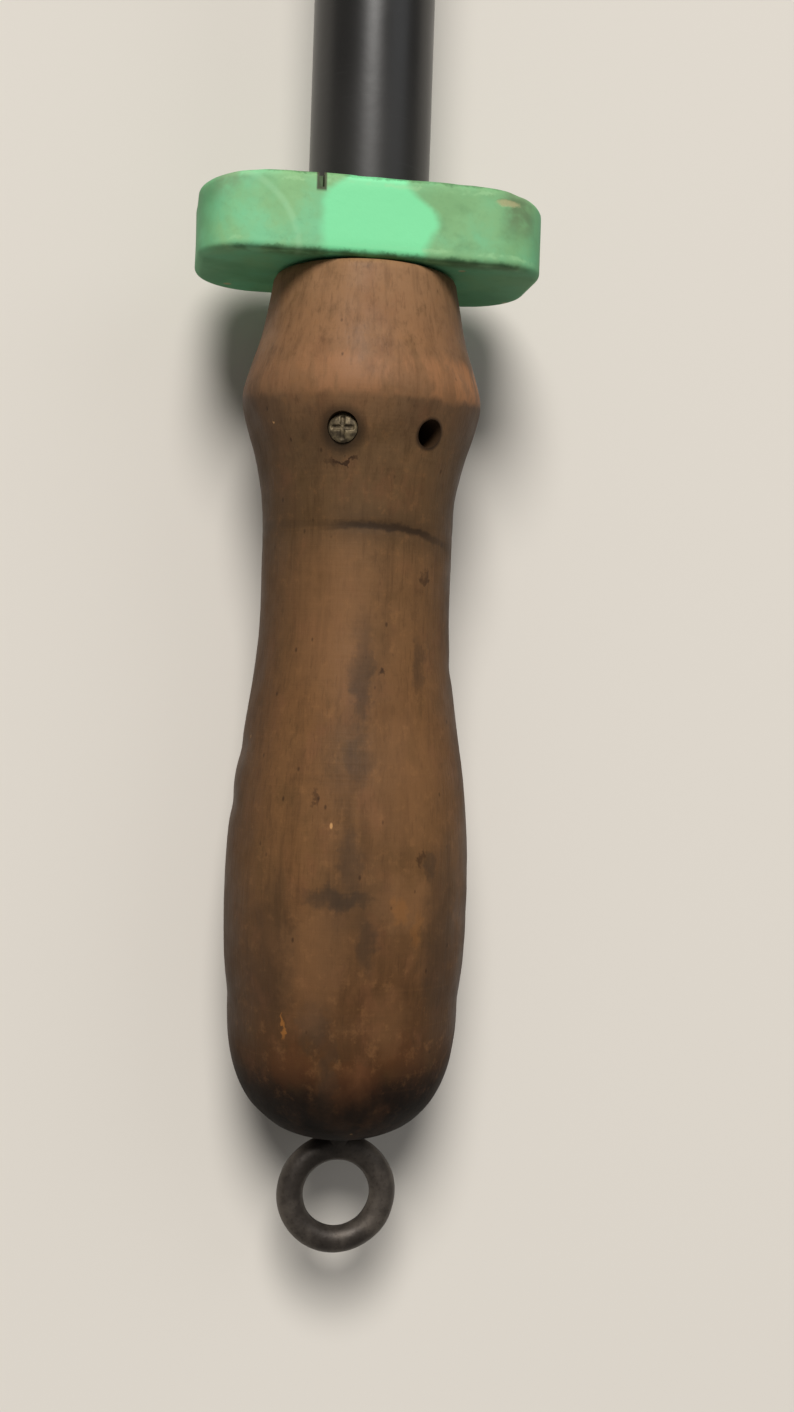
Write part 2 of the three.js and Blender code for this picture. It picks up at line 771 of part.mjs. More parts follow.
// The forged socket between the arms, bored for the lower tube.
function handleSocket() {
  const end = socketStart + socketLength;
  const square = roundedRectangle(2 * socketHalfWidth, 2 * socketHalfWidth, socketCorner);
  const body = join(
    extrudeY(square, socketStart, end - socketCollar, 3),
    rodAlong("y", socketHalfWidth, end - socketCollar - 1, end, 24),
  );
  return cut(
    body,
    rodAlong("y", tubeRadius + gap, socketStart + socketPlug, end + 5, 24),
    ...boltPlaces().map((y) => rodAlong("x", boltRadius + gap, -beyond, beyond).translate(0, y, 0)),
  );
}

function socketBolt() {
  const face = socketHalfWidth + gap + strapThickness + gap;
  return join(
    rodAlong("x", boltHead, face, face + boltHeadHeight, 6),
    rodAlong("x", boltRadius, -face - nutHeight - 1, face + 1),
  );
}

function socketNut() {
  const face = socketHalfWidth + gap + strapThickness + gap;
  const nut = rodAlong("x", boltHead, -face - nutHeight, -face, 6);
  return cut(nut, rodAlong("x", boltRadius + gap, -beyond, beyond));
}

function tube(from, to, ...holes) {
  return cut(
    sleeve(tubeRadius - tubeWall, tubeRadius, from, to, 24),
    ...holes,
  );
}

// A hole from the handle's axis outwards at a station, at an angle from the upper side.
function radialHole(radius, station, angle) {
  return rodAlong("z", radius, 0, 2 * domeRadius, 12).rotateY(angle).translate(0, station, 0);
}

// A thumb screw that bears on the upper tube.
function couplingScrew() {
  const foot = tubeRadius + gap;
  const collar = couplingRadius + gap;
  const { radius, height, bevel } = thumbHead;
  const profile = [
    [0, foot],
    [thumbShank, foot],
    [thumbShank, collar],
    [thumbCollar, collar],
    [radius, collar + radius - thumbCollar],
    [radius, collar + height - bevel],
    [radius - bevel, collar + height],
    [0, collar + height],
  ];
  return turned(profile, 16).rotateX(Math.PI / 2);
}

function buildBail(handle) {
  for (const [name, side] of [["left", -1], ["right", 1]]) {
    add(handle, `bail_arm_${name}`, bailArm(side), blackPaint);
  }
  add(handle, "handle_socket", handleSocket(), blackPaint);
  const names = ["lower", "upper"];
  boltPlaces().forEach((y, i) => {
    add(handle, `socket_bolt_${names[i]}`, socketBolt(), brightSteel, 0, y, 0);
    add(handle, `socket_nut_${names[i]}`, socketNut(), brightSteel, 0, y, 0);
  });
  const lowerStart = socketStart + socketPlug + gap;
  const across = rodAlong("x", boltRadius + gap, -beyond, beyond).translate(0, boltPlaces()[1], 0);
  add(handle, "lower_tube", tube(lowerStart, tubeJoint, across), blackPaint);
  const screwAt = gripStart + screwStation;
  const upper = tube(
    tubeJoint + gap, tubeEnd,
    radialHole(screwShank + gap, screwAt, screwAngle),
    radialHole(spareHole, screwAt, spareHoleAngle),
  );
  add(handle, "upper_tube", upper, blackPaint);
  const clampAt = tubeJoint + couplingLength / 4;
  const coupling = sleeve(
    tubeRadius + gap, couplingRadius, tubeJoint - couplingLength / 2, tubeJoint + couplingLength / 2,
  );
  add(handle, "tube_coupling", cut(coupling, radialHole(thumbShank + gap, clampAt, 0)), brightSteel);
  add(handle, "coupling_screw", couplingScrew(), brightSteel, 0, clampAt, 0);
}

// ---------------------------------------------------------------- guard, grip and eye

// A painted block through which the tube passes, with a saw cut across one corner of its far face.
function handGuard() {
  const slab = extrudeY(roundedRectangle(guardWidth, guardDepth, guardCorner), guardStart, guardEnd, 6);
  const kerf = block(
    kerfX - kerfWidth / 2, kerfX + kerfWidth / 2,
    guardStart - 1, guardStart + kerfDepth,
    guardDepth / 2 - kerfDepth, guardDepth,
  );
  return cut(slab, rodAlong("y", tubeRadius + gap, guardStart - 5, guardEnd + 5, 24), kerf);
}

// The recess for the screw's head, tapered below it and open to the outside above it.
function screwSink() {
  const outside = domeRadius + 3;
  const profile = [
    [0, screwSeat - screwCone - gap],
    [screwShank + gap, screwSeat - screwCone - gap],
    [screwHead + sinkRoom, screwSeat - gap],
    [screwHead + sinkRoom, outside],
    [0, outside],
  ];
  const sink = turned(profile, 16).rotateX(Math.PI / 2).rotateY(screwAngle);
  return sink.translate(0, screwStation, 0);
}

function grip() {
  const wood = turned(gripProfile(), 28);
  const eye = new THREE.TorusGeometry(eyeRadius, eyeWire + gap, 8, 24);
  return cut(
    wood,
    rodAlong("y", tubeRadius + gap, -5, gripBoreDepth, 24),
    rodAlong("y", eyeWire + gap, gripLength - eyeShank - 1, gripLength + 5, 12),
    eye.translate(0, eyeCentre - gripStart, 0),
    radialHole(screwShank + gap, screwStation, screwAngle),
    screwSink(),
    radialHole(spareHole, screwStation, spareHoleAngle),
  );
}

// A wood screw with a shallow domed head, its point inside the tube.
function gripScrew() {
  const profile = [
    [0, screwPoint],
    [screwShank, screwPoint + 2],
    [screwShank, screwSeat - screwCone],
    [screwHead, screwSeat],
    [screwHead, screwSeat + 0.3],
    [screwHead - 0.8, screwSeat + 0.8],
    [0, screwSeat + 1],
  ];
  return turned(profile, 16).rotateX(Math.PI / 2).rotateY(screwAngle);
}

function screwEye() {
  return join(
    new THREE.TorusGeometry(eyeRadius, eyeWire, 10, 30),
    rodAlong("y", eyeWire, gripEnd - eyeShank - eyeCentre, -eyeRadius, 12),
  );
}

function buildGrip(handle) {
  add(handle, "hand_guard", handGuard(), wornGreen);
  add(handle, "grip", grip(), stainedWood, 0, gripStart, 0);
  add(handle, "grip_screw", gripScrew(), oldBrass, 0, gripStart + screwStation, 0);
  add(handle, "screw_eye", screwEye(), darkIron, 0, eyeCentre, 0);
}

// ---------------------------------------------------------------- assembly

const fall = restAngle();
const eyeReach = (eyeCentre + eyeRadius + eyeWire) * Math.cos(fall);
const sweeper = new THREE.Group();
const head = new THREE.Group();
head.position.y = -(eyeReach - bandReach) / 2;
sweeper.add(head);
buildCase(head);
buildWheels(head);
buildBrush(head);
buildPans(head);
buildDump(head);

const handle = new THREE.Group();
handle.position.z = pivotHeight;
handle.rotation.x = -fall;
head.add(handle);
buildBail(handle);
buildGrip(handle);

export default sweeper;
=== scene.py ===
# A hand-pushed carpet sweeper, lying with its handle back on a pale floor and seen from above its grip.
# Lengths are metres unless a name ends in _MM. The handle's pieces are made in the handle's own frame:
# X across, Y along it from its pivot, Z out of its upper side.
import contextlib
import itertools
import json
import random
import bmesh
import bpy
from math import atan2, cos, exp, pi, radians, sin, sqrt
from mathutils import Euler, Matrix, Vector, noise
from mathutils.geometry import tessellate_polygon


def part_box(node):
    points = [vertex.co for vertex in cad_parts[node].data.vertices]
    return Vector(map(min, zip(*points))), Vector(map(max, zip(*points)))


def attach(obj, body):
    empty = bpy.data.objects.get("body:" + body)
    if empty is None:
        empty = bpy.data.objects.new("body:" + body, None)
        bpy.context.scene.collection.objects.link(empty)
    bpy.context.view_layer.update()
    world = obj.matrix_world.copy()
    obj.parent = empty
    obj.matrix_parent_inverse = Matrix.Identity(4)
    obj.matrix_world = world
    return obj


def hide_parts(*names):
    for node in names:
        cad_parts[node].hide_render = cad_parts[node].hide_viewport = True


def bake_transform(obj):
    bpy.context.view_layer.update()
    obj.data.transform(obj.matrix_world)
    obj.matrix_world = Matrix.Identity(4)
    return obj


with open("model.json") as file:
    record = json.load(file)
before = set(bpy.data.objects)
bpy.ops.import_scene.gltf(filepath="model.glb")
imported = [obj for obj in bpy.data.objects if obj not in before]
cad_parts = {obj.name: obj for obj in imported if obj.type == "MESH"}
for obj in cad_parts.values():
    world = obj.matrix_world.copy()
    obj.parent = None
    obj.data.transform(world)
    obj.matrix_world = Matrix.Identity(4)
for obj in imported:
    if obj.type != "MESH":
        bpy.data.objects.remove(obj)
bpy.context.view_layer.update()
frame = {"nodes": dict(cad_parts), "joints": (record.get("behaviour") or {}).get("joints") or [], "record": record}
MM = 0.001
QUARTER = pi / 2

# ---------------- places, read from the frame

JOINTS = {joint["name"]: joint for joint in frame["joints"]}
BODIES = frame["record"]["behaviour"]["bodies"]
BODY_OF = {node: body for body, nodes in BODIES.items() for node in nodes}
SLOT_OF = {row["node"]: row["material_slot"] for row in frame["record"]["subparts"]}
ACROSS = Vector((1, 0, 0))


def extent(node):
    """A CAD node's middle and its size along each axis."""
    low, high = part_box(node)
    return (low + high) / 2, high - low


def frame_matrix(x_axis, y_axis, z_axis, origin):
    matrix = Matrix((x_axis, y_axis, z_axis)).transposed().to_4x4()
    matrix.translation = origin
    return matrix


PIVOT = Vector(JOINTS["handle_swing"]["pos_m"])
ALONG = (extent("tube_coupling")[0] - PIVOT).normalized()
OUT = ACROSS.cross(ALONG)
HANDLE = frame_matrix(ACROSS, ALONG, OUT, PIVOT)
HEAD = Matrix.Translation((0, PIVOT.y, 0))


def span(node, axis=1, matrix=HANDLE):
    """Lowest and highest place of a CAD node along one axis of a frame."""
    inverse = matrix.inverted()
    places = [(inverse @ vertex.co)[axis] for vertex in frame["nodes"][node].data.vertices]
    return min(places), max(places)


GRIP_TOP, GRIP_END = span("grip")
GUARD_FAR, GUARD_NEAR = span("hand_guard")
GUARD_HALF_WIDTH = span("hand_guard", 0)[1]
GUARD_HALF_DEPTH = span("hand_guard", 2)[1]
EYE_WIRE = span("screw_eye", 2)[1]
EYE_RADIUS = span("screw_eye", 0)[1] - EYE_WIRE
EYE_CENTRE = span("screw_eye")[1] - EYE_RADIUS - EYE_WIRE
TUBE_RADIUS = span("upper_tube", 0)[1]
KERF_X = 9 * MM
CRACK_MM = 40.0
SCREW_STATION_MM = 26
SCREW_TURN = radians(17)
SPARE_TURN = radians(-29)

SHELL_LEFT, SHELL_RIGHT = span("case_shell", 0, HEAD)
SHELL_HEM, SHELL_TOP = span("case_shell", 2, HEAD)
SHELL_HALF_DEPTH = span("case_shell", 1, HEAD)[1]
SHOULDER = 50 * MM
SHEET = 1.2 * MM

# ---------------- node materials


def linear(red, green, blue):
    """A colour given in display values from 0 to 255, as the shader's linear values."""
    def channel(value):
        share = value / 255
        return share / 12.92 if share <= 0.04045 else ((share + 0.055) / 1.055) ** 2.4
    return (channel(red), channel(green), channel(blue), 1)


def paint(color):
    """Three display values become a shader colour; anything else is one already."""
    return linear(*color) if isinstance(color, tuple) and len(color) == 3 else color


def operator(operation, swapped=False):
    """A method that makes a Math node of the value and another value or number."""
    def apply(value, other=0.5):
        pair = (other, value) if swapped else (value, other)
        return value.make.node("ShaderNodeMath", enumerate(pair), operation=operation)
    return apply


class Value:
    """What a node of a Finish gives out, which can be reckoned with like a number."""

    __add__ = __radd__ = operator("ADD")
    __sub__ = operator("SUBTRACT")
    __rsub__ = operator("SUBTRACT", True)
    __mul__ = __rmul__ = operator("MULTIPLY")
    __truediv__ = operator("DIVIDE")
    __pow__ = operator("POWER")
    __abs__ = operator("ABSOLUTE")
    root = operator("SQRT")
    least = operator("MINIMUM")
    most = operator("MAXIMUM")

    def __init__(self, make, socket):
        self.make = make
        self.socket = socket

    def band(self, low, high, first=0.0, last=1.0, kind="SMOOTHSTEP"):
        """Goes from first to last as the value goes from low to high."""
        inputs = {"Value": self, "From Min": low, "From Max": high, "To Min": first, "To Max": last}
        return self.make.node("ShaderNodeMapRange", inputs, interpolation_type=kind)

    def slope(self, low, high, first=0.0, last=1.0):
        """As a band, but straight."""
        return self.band(low, high, first, last, "LINEAR")

    def tint(self, low, high, share, color):
        """Lays a coat on the finish, which reaches its share as the value goes from low to high."""
        self.make.lay(self.band(low, high, 0, share), color)


class Finish:
    """A node material around one Principled shader, whose colour is laid on coat by coat."""

    def __init__(self, name, roughness=0.5, metallic=0.0, specular=0.5):
        self.material = bpy.data.materials.new(name)
        self.material.use_nodes = True
        self.tree = self.material.node_tree
        self.sockets = self.tree.nodes["Principled BSDF"].inputs
        self.sockets["Roughness"].default_value = roughness
        self.sockets["Metallic"].default_value = metallic
        self.sockets["Specular IOR Level"].default_value = specular
        self.places = self.tree.nodes.new("ShaderNodeTexCoord").outputs["Object"]
        apart = self.tree.nodes.new("ShaderNodeSeparateXYZ")
        self.feed(apart.inputs[0], self.places)
        self.x, self.y, self.z = (Value(self, output) for output in apart.outputs)

    def feed(self, socket, value):
        value = getattr(value, "socket", value)
        if isinstance(value, bpy.types.NodeSocket):
            self.tree.links.new(value, socket)
        else:
            socket.default_value = value

    def node(self, kind, inputs, **settings):
        made = self.tree.nodes.new(kind)
        for key, value in settings.items():
            setattr(made, key, value)
        for key, value in dict(inputs).items():
            self.feed(made.inputs[key], value)
        return Value(self, made.outputs[0])

    def stretched(self, stretch, turn=(0, 0, 0)):
        """The object's own places, multiplied on each axis."""
        inputs = {"Vector": self.places, "Scale": stretch, "Rotation": turn}
        return self.node("ShaderNodeMapping", inputs)

    def noise(self, scale, detail=4, roughness=0.55, distortion=0.0, stretch=(1, 1, 1), turn=(0, 0, 0)):
        """Fractal noise of a scale, which may be given for each axis by itself."""
        if isinstance(scale, tuple):
            stretch, scale = scale, 1
        inputs = {"Vector": self.stretched(stretch, turn), "Scale": scale, "Detail": detail}
        inputs.update({"Roughness": roughness, "Distortion": distortion})
        return self.node("ShaderNodeTexNoise", inputs)

    def cells(self, scale, stretch=(1, 1, 1)):
        return self.node("ShaderNodeTexVoronoi", {"Vector": self.stretched(stretch), "Scale": scale})

    def mix(self, share, first, second, blend="MIX"):
        made = self.tree.nodes.new("ShaderNodeMix")
        made.data_type = "RGBA"
        made.blend_type = blend
        for index, value in ((0, share), (6, paint(first)), (7, paint(second))):
            self.feed(made.inputs[index], value)
        return made.outputs[2]

    def base(self, share, first, second):
        """The first coat: one colour going over into another."""
        self.tone = self.mix(share, first, second)

    def lay(self, share, color, blend="MIX"):
        """One more coat over the colour so far."""
        self.tone = self.mix(share, self.tone, color, blend)

    def ramp(self, value, stops):
        """The first coat, as colours at places between 0 and 1 of the value."""
        made = self.tree.nodes.new("ShaderNodeValToRGB")
        self.feed(made.inputs[0], value)
        elements = made.color_ramp.elements
        while len(elements) < len(stops):
            elements.new(0.5)
        for element, (place, color) in zip(elements, stops):
            element.position = place
            element.color = paint(color)
        self.tone = made.outputs[0]

    def rough(self, value):
        self.feed(self.sockets["Roughness"], value)

    def bump(self, height, depth_mm, strength=0.6):
        """Ends the finish, with relief from a height between 0 and 1 that stands for the depth."""
        self.feed(self.sockets["Base Color"], self.tone)
        inputs = {"Height": height, "Distance": depth_mm * MM, "Strength": strength}
        self.feed(self.sockets["Normal"], self.node("ShaderNodeBump", inputs))
        return self.material


# ---------------- mesh helpers


def smoothed(mesh, angle=None):
    """Smooth shading; with an angle in degrees, edges sharper than it stay hard."""
    mesh.polygons.foreach_set("use_smooth", [True] * len(mesh.polygons))
    if angle is not None:
        mesh.set_sharp_from_angle(angle=radians(angle))


@contextlib.contextmanager
def edited(mesh):
    """The mesh as a bmesh, which is written back afterwards."""
    made = bmesh.new()
    made.from_mesh(mesh)
    yield made
    made.to_mesh(mesh)
    made.free()


def linked(name, data):
    made = bpy.data.objects.new(name, data)
    bpy.context.scene.collection.objects.link(made)
    return made


def mesh_piece(name, vertices, faces, material, matrix=None, sharp=None):
    mesh = bpy.data.meshes.new(name)
    mesh.from_pydata([tuple(v) for v in vertices], [], faces)
    mesh.validate()
    with edited(mesh) as made:
        bmesh.ops.recalc_face_normals(made, faces=made.faces)
    smoothed(mesh, sharp)
    mesh.materials.append(material)
    piece = linked(name, mesh)
    if matrix is not None:
        piece.matrix_world = matrix
    return piece


stood_for = set()


def settle(piece, node, replaces=True):
    """The piece moves with the node's body and, unless it is an extra, stands for it."""
    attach(piece, BODY_OF[node])
    if replaces:
        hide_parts(node)
        stood_for.add(node)


def apply_modifiers(piece):
    bpy.context.view_layer.update()
    graph = bpy.context.evaluated_depsgraph_get()
    finished = bpy.data.meshes.new_from_object(piece.evaluated_get(graph))
    old = piece.data
    piece.modifiers.clear()
    piece.data = finished
    bpy.data.meshes.remove(old)


def cut(piece, cutter):
    """Takes the cutter's volume out of the piece; both are in the same frame."""
    change = piece.modifiers.new("cut", "BOOLEAN")
    change.object = cutter
    change.solver = "EXACT"
    apply_modifiers(piece)
    bpy.data.objects.remove(cutter, do_unlink=True)


def block(low, high, material, matrix):
    """A box between two corners, to cut with."""
    corners = list(itertools.product(*zip(low, high)))
    faces = [(0, 1, 3, 2), (4, 6, 7, 5), (0, 4, 5, 1), (2, 3, 7, 6), (0, 2, 6, 4), (1, 5, 7, 3)]
    return mesh_piece("cutter", corners, faces, material, matrix)


def polar(radius, turn):
    return radius * cos(turn), radius * sin(turn)


def quads(rings, count, closed=False):
    """Faces between neighbouring rings of count vertices; closed joins the last ring to the first."""
    faces = []
    for ring in range(rings if closed else rings - 1):
        a = ring * count
        b = (ring + 1) % rings * count
        faces += [(a + k, a + (k + 1) % count, b + (k + 1) % count, b + k) for k in range(count)]
    return faces


def ends(total, count):
    """The first and the last ring of count vertices, each as one face."""
    return [list(range(count)), list(range(total - count, total))]


def rings_of(points, segments, place, capped=False):
    """Vertices and faces of one ring for each point; place(point, turn) gives a vertex."""
    turns = [2 * pi * step / segments for step in range(segments)]
    vertices = [place(point, turn) for point in points for turn in turns]
    faces = quads(len(points), segments)
    if capped:
        faces += ends(len(vertices), segments)
    return vertices, faces


def turned(name, profile, segments, material, matrix, sharp=35):
    """A lathe piece around Y: the points of its closed profile are (radius, distance along)."""

    def place(point, turn):
        radius, along = point
        return (radius * sin(turn), along, radius * cos(turn))

    vertices, faces = rings_of([*profile, profile[0]], segments, place)
    piece = mesh_piece(name, vertices, faces, material, matrix)
    with edited(piece.data) as made:
        bmesh.ops.remove_doubles(made, verts=made.verts, dist=0.001 * MM)
        flat = [face for face in made.faces if face.calc_area() < 1e-14]
        bmesh.ops.delete(made, geom=flat, context="FACES_ONLY")
        bmesh.ops.recalc_face_normals(made, faces=made.faces)
    smoothed(piece.data, sharp)
    return piece


# Edge roundings in millimetres of the CAD pieces that only need softer edges, by how their names start.
BEVEL_MM = {
    "tube_coupling": 0.8, "handle_socket": 0.8, "bail_arm": 0.5, "coupling_screw": 0.4,
    "socket_bolt": 0.4, "socket_nut": 0.3,
}
OTHER_BEVEL_MM = 0.35


def refined(node):
    """A copy of a CAD node with rounded edges, which stands for it."""
    piece = frame["nodes"][node].copy()
    piece.data = frame["nodes"][node].data.copy()
    for key in list(piece.keys()):
        del piece[key]
    piece.parent = None
    piece.name = node + "_shape"
    bpy.context.scene.collection.objects.link(piece)
    with edited(piece.data) as made:
        bmesh.ops.remove_doubles(made, verts=made.verts, dist=0.01 * MM)
        bmesh.ops.dissolve_limit(made, angle_limit=radians(2), verts=made.verts, edges=made.edges)
    change = piece.modifiers.new("rounded", "BEVEL")
    bevel = [value for name, value in BEVEL_MM.items() if node.startswith(name)]
    change.width = (bevel or [OTHER_BEVEL_MM])[0] * MM
    change.segments = 3
    change.limit_method = "ANGLE"
    change.angle_limit = radians(28)
    change.use_clamp_overlap = True
    change.harden_normals = False
    apply_modifiers(piece)
    smoothed(piece.data, 32)
    piece.data.materials.clear()
    piece.data.materials.append(FINISH_OF_SLOT[SLOT_OF[node]])
    settle(piece, node)


def hermite(points, at):
    """Smooth curve through points (place, value), read at one place."""
    if at <= points[0][0]:
        return points[0][1]
    for index, ((x0, y0), (x1, y1)) in enumerate(zip(points, points[1:])):
        if at > x1:
            continue
        before = points[max(index - 1, 0)]
        after = points[min(index + 2, len(points) - 1)]
        slope0 = (y1 - before[1]) / (x1 - before[0])
        slope1 = (after[1] - y0) / (after[0] - x0)
        width = x1 - x0
        t = (at - x0) / width
        return (
            y0 * (1 + 2 * t) * (1 - t) ** 2
            + y1 * t * t * (3 - 2 * t)
            + slope0 * width * t * (1 - t) ** 2
            + slope1 * width * t * t * (t - 1)
        )
    return points[-1][1]


# ---------------- finishes


# The grip's colour by its share of the length, from its top face to its foot, in display values. The near-black
# foot end is dirt and painted shade together.
GRIP_TONES = [
    (0.0, (157, 125, 98)), (0.09, (143, 110, 84)), (0.125, (132, 102, 78)), (0.155, (124, 99, 77)),
    (0.2, (110, 88, 66)), (0.29, (99, 78, 56)), (0.34, (120, 92, 66)), (0.5, (119, 88, 60)),
    (0.68, (112, 84, 58)), (0.8, (96, 70, 48)), (0.88, (80, 56, 36)), (0.92, (50, 34, 23)),
    (0.95, (22, 15, 11)), (1.0, (7, 5, 4)),
]
VARNISH = (0.87, 0.78, 0.64, 1)
# Marks on the grip that its maker and users left, by their tone in display values: how far across (to +X)
# and along from its top face each lies, its half width and half length, all in millimetres, and its
# strength. The smudges come first and the nicks last.
GRIP_MARKS = {
    (60, 51, 44): [
        (4.0, 95.5, 4.5, 1.5, 0.7), (2.0, 90, 1.6, 4.0, 0.45), (0.5, 96.5, 5.5, 4.0, 0.25),
        (-0.6, 102, 1.5, 3.6, 0.55), (6.4, 114.5, 2.0, 3.4, 0.65), (-10.5, 91, 1.0, 2.0, 0.5),
        (1.0, 62, 1.5, 8.0, 0.6), (1.0, 75, 2.0, 3.0, 0.45), (12.5, 104, 3.0, 10.0, 0.4),
        (-12.5, 101, 3.0, 12.0, 0.45), (-8.5, 60, 1.2, 4.0, 0.45), (8.0, 27, 3.0, 5.0, 0.35),
        (4.2, 126, 1.2, 8.0, 0.5),
    ],
    (104, 64, 40): [
        (9.5, 121, 3.0, 3.0, 0.3), (0.0, 124, 3.6, 3.4, 0.35), (-7.0, 120, 4.0, 3.0, 0.2),
    ],
    (140, 106, 78): [
        (-4.5, 114, 3.4, 5.0, 0.25), (5.0, 53, 5.0, 11.0, 0.4), (-6.0, 96, 4.0, 3.6, 0.4),
        (-5.0, 78, 5.0, 10.0, 0.3), (7.0, 106, 4.0, 9.0, 0.35),
    ],
    (166, 114, 62): [
        (10.8, 115.2, 0.3, 1.6, 0.6), (-5.6, 96.5, 1.3, 1.6, 0.22), (-8.0, 100, 0.8, 2.6, 0.18),
    ],
    (50, 35, 26): [
        (4.6, 30.2, 1.8, 0.35, 0.85), (6.2, 30.8, 0.7, 0.6, 0.5), (-2.2, 61.8, 0.5, 1.0, 0.8),
        (10.0, 100, 1.0, 1.2, 0.25), (-9.0, 90, 0.4, 1.4, 0.6), (7.5, 81, 0.35, 1.5, 0.5),
        (-9.2, 47, 0.5, 0.9, 0.6),
    ],
}


def marked(make, station):
    """Lays the grip's marks over its colour, on its upper side only."""
    ragged = make.noise(330, 4, 0.65, stretch=(1, 0.7, 1)) - 0.5
    sideways = make.noise(270, 4, 0.65, stretch=(1, 1, 1.3)) - 0.5
    x = make.x + sideways * 0.0055
    along = station + ragged * 0.007
    upper = make.z.band(0.002, 0.006)
    for tone, marks in GRIP_MARKS.items():
        for across, at, wide, long, strength in marks:
            u = (x - across * MM) / (wide * MM)
            v = (along - at * MM) / (long * MM)
            make.lay((u * u + v * v).band(0, 2.0, strength, 0) * upper, tone)


def around_bore(make, turn, station, at_mm):
    """Distance from the axis of a hole drilled through the grip's upper side."""
    across = make.x * cos(turn) - make.z * sin(turn)
    along = station - at_mm * MM
    away = (across * across + along * along).root()
    return away + make.z.band(0.004, 0, 0, 0.02)


def grip_wood():
    """Old dark varnish on turned beech: warm above, rubbed bright on the bead, dirty and darkened with painted
    shade at the foot, with painted shade on its sides and below the bead.
    """
    make = Finish("grip_wood", specular=0.14)
    wander = make.noise(75, 4) - 0.5
    plain_station = make.y - GRIP_TOP
    station = plain_station + wander * 0.004
    make.ramp(station.slope(0, 0.136), GRIP_TONES)

    soft = make.noise(90, 4, 0.6, 0.3, stretch=(1, 0.45, 1))
    soft.tint(0.48, 0.72, 0.42, (84, 65, 48))
    soft.tint(0.46, 0.3, 0.3, (138, 101, 71))
    hues = make.noise(210, 4, 0.62, 0.2, stretch=(1, 0.7, 1))
    hues.tint(0.5, 0.72, 0.3, (128, 89, 67))
    hues.tint(0.46, 0.28, 0.35, (86, 68, 44))
    streaks = make.noise((560, 34, 560), 4, 0.62, 0.3)
    streaks.tint(0.46, 0.72, 0.3, (66, 48, 33))
    pores = make.noise((2400, 260, 2400), 3, 0.6)
    pores.tint(0.52, 0.72, 0.24, (58, 42, 29))
    turning = make.noise((40, 2100, 40), 3, 0.6)
    turning.tint(0.55, 0.8, 0.12, (132, 98, 68))
    mottle = make.noise(520, 5, 0.7, stretch=(1, 0.8, 1))
    mottle.tint(0.5, 0.75, 0.34, (78, 58, 40))
    mottle.tint(0.48, 0.28, 0.3, (150, 112, 78))
    marked(make, station)

    # Painted shade: the grip's sides and underside turn dark brown, less on the +X side near the top face.
    side_shade_level = make.z + (soft - 0.5) * 0.006
    side_shade_strength = make.x.band(0.008, -0.008, 0.5, 1).most(plain_station.band(0.004, 0.02))
    make.lay(side_shade_level.band(0.016, 0.003, 0, 0.62) * side_shade_strength, (48, 35, 24))

    # The bead: its crest rubbed bright, most at its right end, and painted shade below its lower edge.
    rubbed = make.noise((430, 120, 430), 4, 0.62, 0.4)
    crest_place = plain_station + (rubbed - 0.5) * 0.007
    foot_place = plain_station + wander * 0.0026 + (rubbed - 0.5) * 0.0038
    foot_place = foot_place - make.z.band(0.004, 0.0185, 0, 0.0011)
    crest = crest_place.band(0.0138, 0.0168) * foot_place.band(0.0206, 0.0194)
    crest = crest * make.x.band(0.0145, 0.007, 0.4, 1)
    patchy = rubbed.band(0.4, 0.6, 0.25, 0.85)
    make.lay(crest * patchy * 0.8, (158, 118, 90))
    make.lay(crest * make.x.band(-0.006, -0.014) * patchy * 0.55, (166, 118, 80))
    shade_under_bead = foot_place.band(0.0194, 0.0206) * plain_station.band(0.03, 0.021)
    make.lay(shade_under_bead * soft.band(0.35, 0.6, 0.1, 0.32), (76, 58, 48))

    # Dirt around the screw, painted shade on the spare hole's inner wall and mouth, then the crack round the neck.
    round_screw = around_bore(make, SCREW_TURN, plain_station, SCREW_STATION_MM + 0.3)
    make.lay(round_screw.band(0.0023, 0.0044, 0.8, 0), (50, 41, 32))
    round_hole = around_bore(make, SPARE_TURN, plain_station, SCREW_STATION_MM)
    make.lay(round_hole.band(0.0021, 0.0027, 0.9, 0), (52, 40, 30))
    bend = make.x.band(-0.004, -0.015) * 0.0022
    ragged = (make.noise(420, 4) - 0.5) * 0.0022
    crack = abs(plain_station - CRACK_MM * MM + ragged - bend)
    strongest = make.x.band(0.009, 0.001) * make.x.band(-0.015, -0.007)
    make.lay(crack.band(0.0002, 0.0009, 1, 0) * (strongest * 0.75 + 0.12), (40, 31, 24))
    make.lay(crack.band(0.0005, 0.0035, 0.35, 0) * strongest, (66, 52, 40))

    # Specks, pale chips, the varnish over all of it and the foot darkened by dirt and painted shade.
    make.lay(make.cells(330, (1, 0.55, 1)).band(0.03, 0.1, 0.6, 0), (44, 32, 24))
    chip = make.cells(170, (1, 0.5, 1)).band(0.03, 0.055, 0.8, 0) * hues.band(0.5, 0.56)
    make.lay(chip, (206, 164, 118))
    make.lay(1.0, VARNISH, "MULTIPLY")
    foot_dirt_and_shade = station.band(0.1195, 0.1285, 0, 0.86) * hues.band(0.6, 0.35, 0.75, 1)
    make.lay(foot_dirt_and_shade, (17, 12, 9))
    worn = make.noise(140, 4, 0.6).slope(0.3, 0.7, 0.46, 0.66)
    make.rough(worn + station.band(0.114, 0.127, 0, 0.22))
    return make.bump(pores * -0.5 + turning * 0.3 + soft * -0.3, 0.12)


